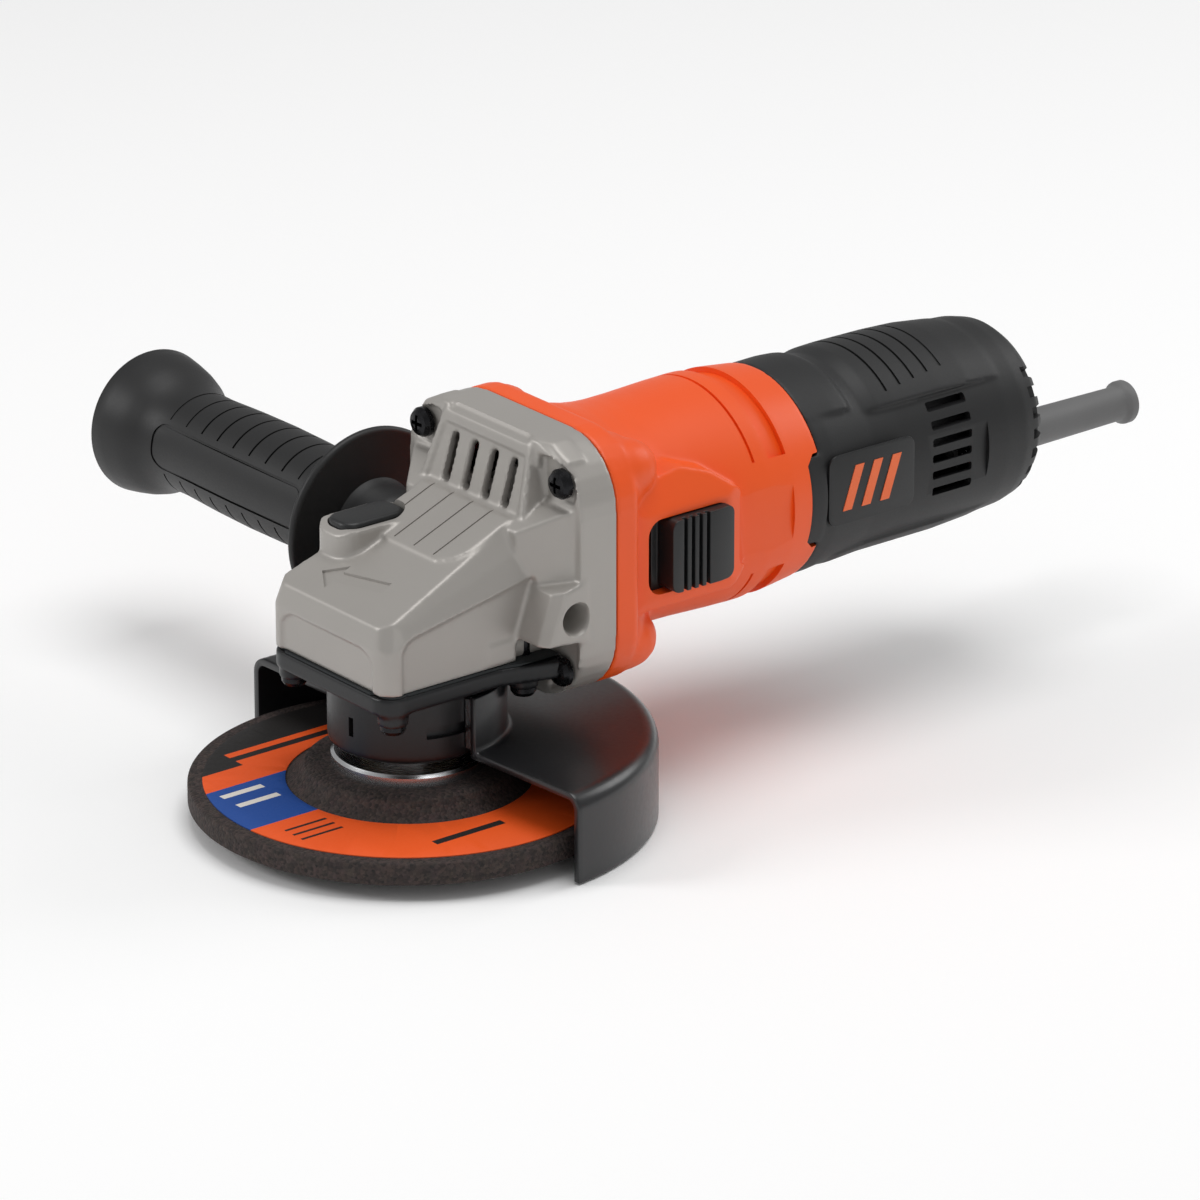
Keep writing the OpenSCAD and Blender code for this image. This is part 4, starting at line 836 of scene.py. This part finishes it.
def makeRearCover():
    cover = {"voxel": 0.6, "passes": 5, "grooves": 5, "groovePitch": 5.2, "notches": 7, "notchStep": 13,
             "slots": 6, "slotPitch": 4.6, "slotRise": 3.4}
    y0, y1 = seamY, rearHigh.y
    barrel = [(0, 0), (29, 0), (28.9, 5), (28.2, 12), (27.4, 20), (27.0, 30), (26.8, 55), (26.7, 66), (26.2, 73),
              (25.0, 78), (22.6, 81)]
    body = turnedAboutMotor("rear_cover_shell", [(r, y0 + y) for r, y in barrel] + [(19, y1), (0, y1)], steps=128)
    # raised collar that ends in a step, and the saddle and keel that frame the flat sides
    collar = [(20, 0.2), (29, 0.2), (29.2, 10), (28.9, 14.5), (28.1, 16), (20, 16)]
    saddle = [(20, 19), (27.2, 19), (28.5, 24), (28.7, 30), (28.6, 46), (28.2, 56), (27.0, 66), (25.6, 72), (20, 76)]
    keel = [(20, 8), (28.2, 8), (28.6, 14), (28.0, 24), (27.9, 50), (27.2, 62), (26.2, 70), (20, 74)]
    add(body, overTop("collar", collar, 92, 0), overTop("saddle", saddle, 100, 0), overTop("keel", keel, 88, 180))
    for start in (155, -25):
        tab = [(27.5, -tabLength), (29.3, -tabLength), (29.2, 0.6), (26.8, 0.6)]
        add(body, turnedAlong("tab", tab, (0, y0, motorZ), steps=24, sweep=50, start=start, ring=True))
    castSkin(body, cover["voxel"], cover["passes"])
    # grip grooves across the saddle
    for i in range(cover["grooves"]):
        y = 29 + i * cover["groovePitch"]
        groove = [(28.1, y - 0.4), (31, y - 0.4), (31, y + 0.4), (28.1, y + 0.4)]
        cut(body, overTop("groove", groove, 84 - 3 * i, 0))
    bore = [(26.5, -1), (26.0, 10), (24.8, 25), (24.8, 55), (23, 71), (20.5, 77), (16, 79), (0, 79)]
    cut(body, turnedAboutMotor("bore", [(0, y0 - 1)] + [(r, y0 + y) for r, y in bore], steps=96))
    # badge recess, and the let-in field with the cooling slots
    middle = (badgeLow.y + badgeHigh.y) / 2, (badgeLow.z + badgeHigh.z) / 2
    cut(body, sideShape("badge", roundedOutline(31, 21.2, 3.6, 5, middle), badgeLow.x, badgeLow.x + 5))
    fieldZ = motorZ + cover["slotRise"]
    for s in (-1, 1):
        cut(body, sideShape("field", roundedOutline(21, 31, 5, 5, (y1 - 33.5, fieldZ)), s * 25.6, s * 31))
        for i in range(cover["slots"]):
            z = fieldZ + (i - (cover["slots"] - 1) / 2) * cover["slotPitch"]
            cut(body, sideShape("slot", roundedOutline(13.6, 2.3, 0.6, 3, (y1 - 35, z)), s * 15, s * 35))
    # notches round the rear edge
    for side in (0, 180):
        for k in range(cover["notches"]):
            notch = block("notch", (20.6, y1 - 6, -1.5), (30, y1 + 1, 1.5))
            slice(notch, (20.6, y1 - 3, 0), (-1, -0.9, 0))
            turn = Matrix.Rotation(math.radians(side + (k - 3) * cover["notchStep"]), 4, "Y")
            notch.matrix_world = Matrix.Translation((0, 0, motorZ * mm)) @ turn
            applyPlace(notch)
            cut(body, notch)
    cut(body, rod("outlet", 6.05, 14, (0, y1 - 9, (bootLow.z + bootHigh.z) / 2), steps=48))
    for x, z in ((-16, 8), (14, -11.5)):
        screw = [(0, 0), (1.7, 0), (1.7, 3), (3.1, 3), (3.1, 9), (0, 9)]
        cut(body, turnedAlong("hole", screw, (x, y1 - 7, motorZ + z), steps=32))
    finished(body, material["blackNylon"], "housing", ["rear_cover"], smooth=40)
    print("rear cover done:", len(body.data.polygons), "faces")


def makeBadge():
    badge = {"thick": 0.8, "bars": 3, "barPitch": 6.4, "barHalf": 6, "barWidth": 3, "lean": 4.2, "barDepth": 0.28}
    middle = (badgeLow.y + badgeHigh.y) / 2, (badgeLow.z + badgeHigh.z) / 2
    face = badgeLow.x + badge["thick"]
    plate = sideShape("badge_face", roundedOutline(29.4, 19.8, 3, 6, middle), badgeLow.x, face)
    softBevel(plate, 0.25, 2)
    finished(plate, material["darkNylon"], "housing", ["badge_plate"])
    # plain slanted bars
    h, w, lean = badge["barHalf"], badge["barWidth"], badge["lean"]
    bars = []
    for i in range(badge["bars"]):
        c = (i - (badge["bars"] - 1) / 2) * badge["barPitch"] - (w + lean) / 2
        outline = [(middle[0] + y, middle[1] + z) for y, z in ((c, -h), (c + w, -h), (c + w + lean, h), (c + lean, h))]
        bars.append(sideShape("badge_bars", outline, face - 0.1, face - 0.1 + badge["barDepth"]))
    add(bars[0], *bars[1:])
    finished(bars[0], material["badgeOrange"], "housing")
    print("badge done")


def makeSwitchButton():
    slide = {"corner": 2.4, "grooves": 4, "groovePitch": 2.5, "grooveHalf": 0.55, "grooveDepth": 1.5}
    y0, y1 = buttonLow.y + 2, buttonHigh.y - 2
    z0, z1 = buttonLow.z + 2.6, buttonHigh.z - 2.6
    x0, x1 = buttonLow.x, buttonHigh.x
    knob = block("switch_slide", (x0 + 1, y0, z0), (x1, y1, z1))
    roundEdges(knob, slide["corner"], lambda a, b: abs(a.x - b.x) > 1, 6)
    slice(knob, (x1, y1 - 5, (z0 + z1) / 2), (1, 0.16, 0))
    for i in range(slide["grooves"]):
        y = y0 + 4.2 + i * slide["groovePitch"]
        half = slide["grooveHalf"]
        cut(knob, block("groove", (x1 - slide["grooveDepth"], y - half, z0 - 1), (x1 + 1, y + half, z1 + 1)))
    add(knob, block("plate", (x0, buttonLow.y, buttonLow.z), (x0 + 1.4, buttonHigh.y, buttonHigh.z)))
    softBevel(knob, 0.3, 3, 40)
    finished(knob, material["darkNylon"], "slide_switch", ["switch_button"])
    print("switch slide done")


def makeLockButton():
    cap = {"width": 11, "length": 20, "corner": 4.2, "edge": 1.2}
    top = lockHigh.z
    middle = (lockLow.x + lockHigh.x) / 2, (lockLow.y + lockHigh.y) / 2
    outline = roundedOutline(cap["width"], cap["length"], cap["corner"], 8, middle)
    button = planShape("lock_cap", outline, lockLow.z, top)
    roundEdges(button, cap["edge"], lambda a, b: a.z > top - 0.01 and b.z > top - 0.01, 5)
    pinLow, pinHigh = boxOf("lock_pin")
    cut(button, turnedAt("hole", 1.75, (pinLow.x + pinHigh.x) / 2, 0, lockLow.z - 1, lockLow.z + 2))
    finished(button, material["darkNylon"], "spindle_lock", ["lock_button"])
    print("lock button done")


def makeHandle():
    grip = {"start": bossFace + 0.6, "stop": 50.5, "length": 102, "bore": 3.95, "ribs": 9, "ribPitch": 7.2,
            "firstRib": 18, "ribHalf": 0.35, "ribSweep": 116, "ribRadius": 14.05, "panelTilt": -10}
    s, d, deep, bore = grip["start"], grip["stop"], grip["ribRadius"], grip["bore"]
    end = d + grip["length"]
    axis = (0, handleY, handleZ)
    stem = [(bore, s), (9.6, s), (10.6, s + 1.2), (11.4, s + 3), (11.6, d - 3.2), (13, d - 1.2)]
    disc = [(25.0, d - 0.3)] + arc((25.2, d + 0.95), 1.3, -90, 80, 6) + \
        [(18, d + 2.6), (16.0, d + 3.2), (14.9, d + 5)]
    hold = [(14.3, 8), (14.3, 16), (14.7, 30), (14.9, 44), (14.7, 58), (14.2, 72), (14.3, 78), (14.9, 82),
            (16.2, 85.5), (17.6, 88), (18.7, 91.5), (19.5, 95.5)]
    tip = arc((17.9, end - 3.4), 2.35, 20, 90, 6) + [(12, end), (11.6, end - 0.5), (0, end - 0.5)]
    profile = stem + disc + [(r, d + x) for r, x in hold] + tip
    shape = lay(turned("side_handle_grip", profile, steps=120), (-1, 0, 0), axis)
    cut(shape, lay(turned("studHole", [(0, s - 1), (bore, s - 1), (bore, d + 14), (0, d + 14)], steps=48),
                   (-1, 0, 0), axis))
    # ribs above and below, and a long smooth panel with a sunk outline facing front and back
    half, sweep = grip["ribHalf"], grip["ribSweep"]
    for k in range(grip["ribs"]):
        x = -(d + grip["firstRib"] + k * grip["ribPitch"])
        for middle in (10, 190):
            rib = turned("rib", [(deep, -half), (17, -half), (17, half), (deep, half)], steps=40, sweep=sweep,
                         start=middle - sweep / 2, ring=True)
            cut(shape, lay(rib, (-1, 0, 0), (x, handleY, handleZ)))
    middle = (-(d + grip["firstRib"] + (grip["ribs"] - 1) * grip["ribPitch"] / 2), 0)
    for side in (-1, 1):
        rim = frontShape("rim", roundedOutline(66, 12.5, 4, 6, middle), side * 8, side * 22)
        cut(rim, frontShape("rimInside", roundedOutline(64.6, 11.1, 3.4, 6, middle), side * 7, side * 23))
        core = turned("core", [(0, d), (deep, d), (deep, end), (0, end)], steps=96)
        cut(rim, lay(core, (-1, 0, 0), (0, 0, 0)))
        rim.matrix_world = Matrix.Translation(Vector(axis) * mm) @ \
            Matrix.Rotation(math.radians(grip["panelTilt"]), 4, "X")
        applyPlace(rim)
        cut(shape, rim)
    finished(shape, material["handleNylon"], "side_handle", ["handle_grip"], smooth=35)
    print("handle done:", len(shape.data.polygons), "faces")


def makeStrainRelief():
    y0, y1, wall = bootLow.y, bootHigh.y, rearHigh.y
    inside = [(3.6, y0), (7.2, y0), (7.6, y0 + 0.5), (7.6, y0 + 3.6), (5.95, y0 + 3.8), (5.95, wall + 0.1)]
    sleeve = [(6.9, wall + 0.2), (7.0, wall + 0.9), (6.4, wall + 2.4), (5.6, wall + 4.5), (5.25, wall + 9),
              (5.0, y1 - 20), (4.8, y1 - 4.2)]
    rim = [(5.2, y1 - 3.2), (5.9, y1 - 2.6), (6.0, y1 - 2.2), (6.0, y1 - 0.5), (5.7, y1), (3.6, y1)]
    place = (0, 0, (bootLow.z + bootHigh.z) / 2)
    boot = turnedAlong("cord_boot", inside + sleeve + rim, place, steps=64, ring=True)
    finished(boot, material["rubber"], "housing", ["strain_relief"], smooth=40)
    print("boot done")


def dressCadNodes():
    # the inner pieces keep their CAD shapes and get their own finishes
    finishes = {
        "blackSteel": ["cover_screws", "gear_case_screws", "rear_cover_screws", "pinion_nut", "gear_circlip",
                       "lock_clip"],
        "brightSteel": ["bearing_retainer", "bearing_plate_screws", "cord_clamp_screws", "brush_springs", "lock_pin",
                        "lock_spring", "guard_band", "handle_stud", "wheel_bush"],
        "lathedSpindle": ["spindle", "backing_flange", "clamp_nut", "spindle_bearing_inner",
                          "spindle_bearing_outer"],
        "lathedShaft": ["armature_shaft", "front_bearing_inner", "front_bearing_outer", "rear_bearing_inner",
                        "rear_bearing_outer"],
        "hardSteel": ["ring_gear", "pinion"],
        "sheets": ["armature_core", "stator_core"],
        "copperWire": ["armature_windings", "stator_coils"],
        "copperBars": ["commutator"],
        "castAluminium": ["bearing_plate"],
        "blackNylon": ["air_baffle", "brush_plate", "switch_body", "cord_clamp", "fan"],
        "darkNylon": ["switch_rod"],
        "blackRubber": ["rear_bearing_sleeve"],
        "carbon": ["carbon_brushes"],
        "felt": ["dust_ring"],
        "gasket": ["cover_gasket"],
        "yellowCase": ["suppressor"],
    }
    for finish, names in finishes.items():
        for name in names:
            mesh = nodes[name].data
            mesh.materials.clear()
            mesh.materials.append(material[finish])
            makeActive(nodes[name])
            bpy.ops.object.shade_smooth_by_angle(angle=math.radians(30))
    print("inner pieces dressed")


makeCamera()
makeStudio()
makeGearCase()
makeGearCover()
makeGuard()
makeWheel()
makeMotorHousing()
makeRearCover()
makeBadge()
makeSwitchButton()
makeLockButton()
makeHandle()
makeStrainRelief()
dressCadNodes()
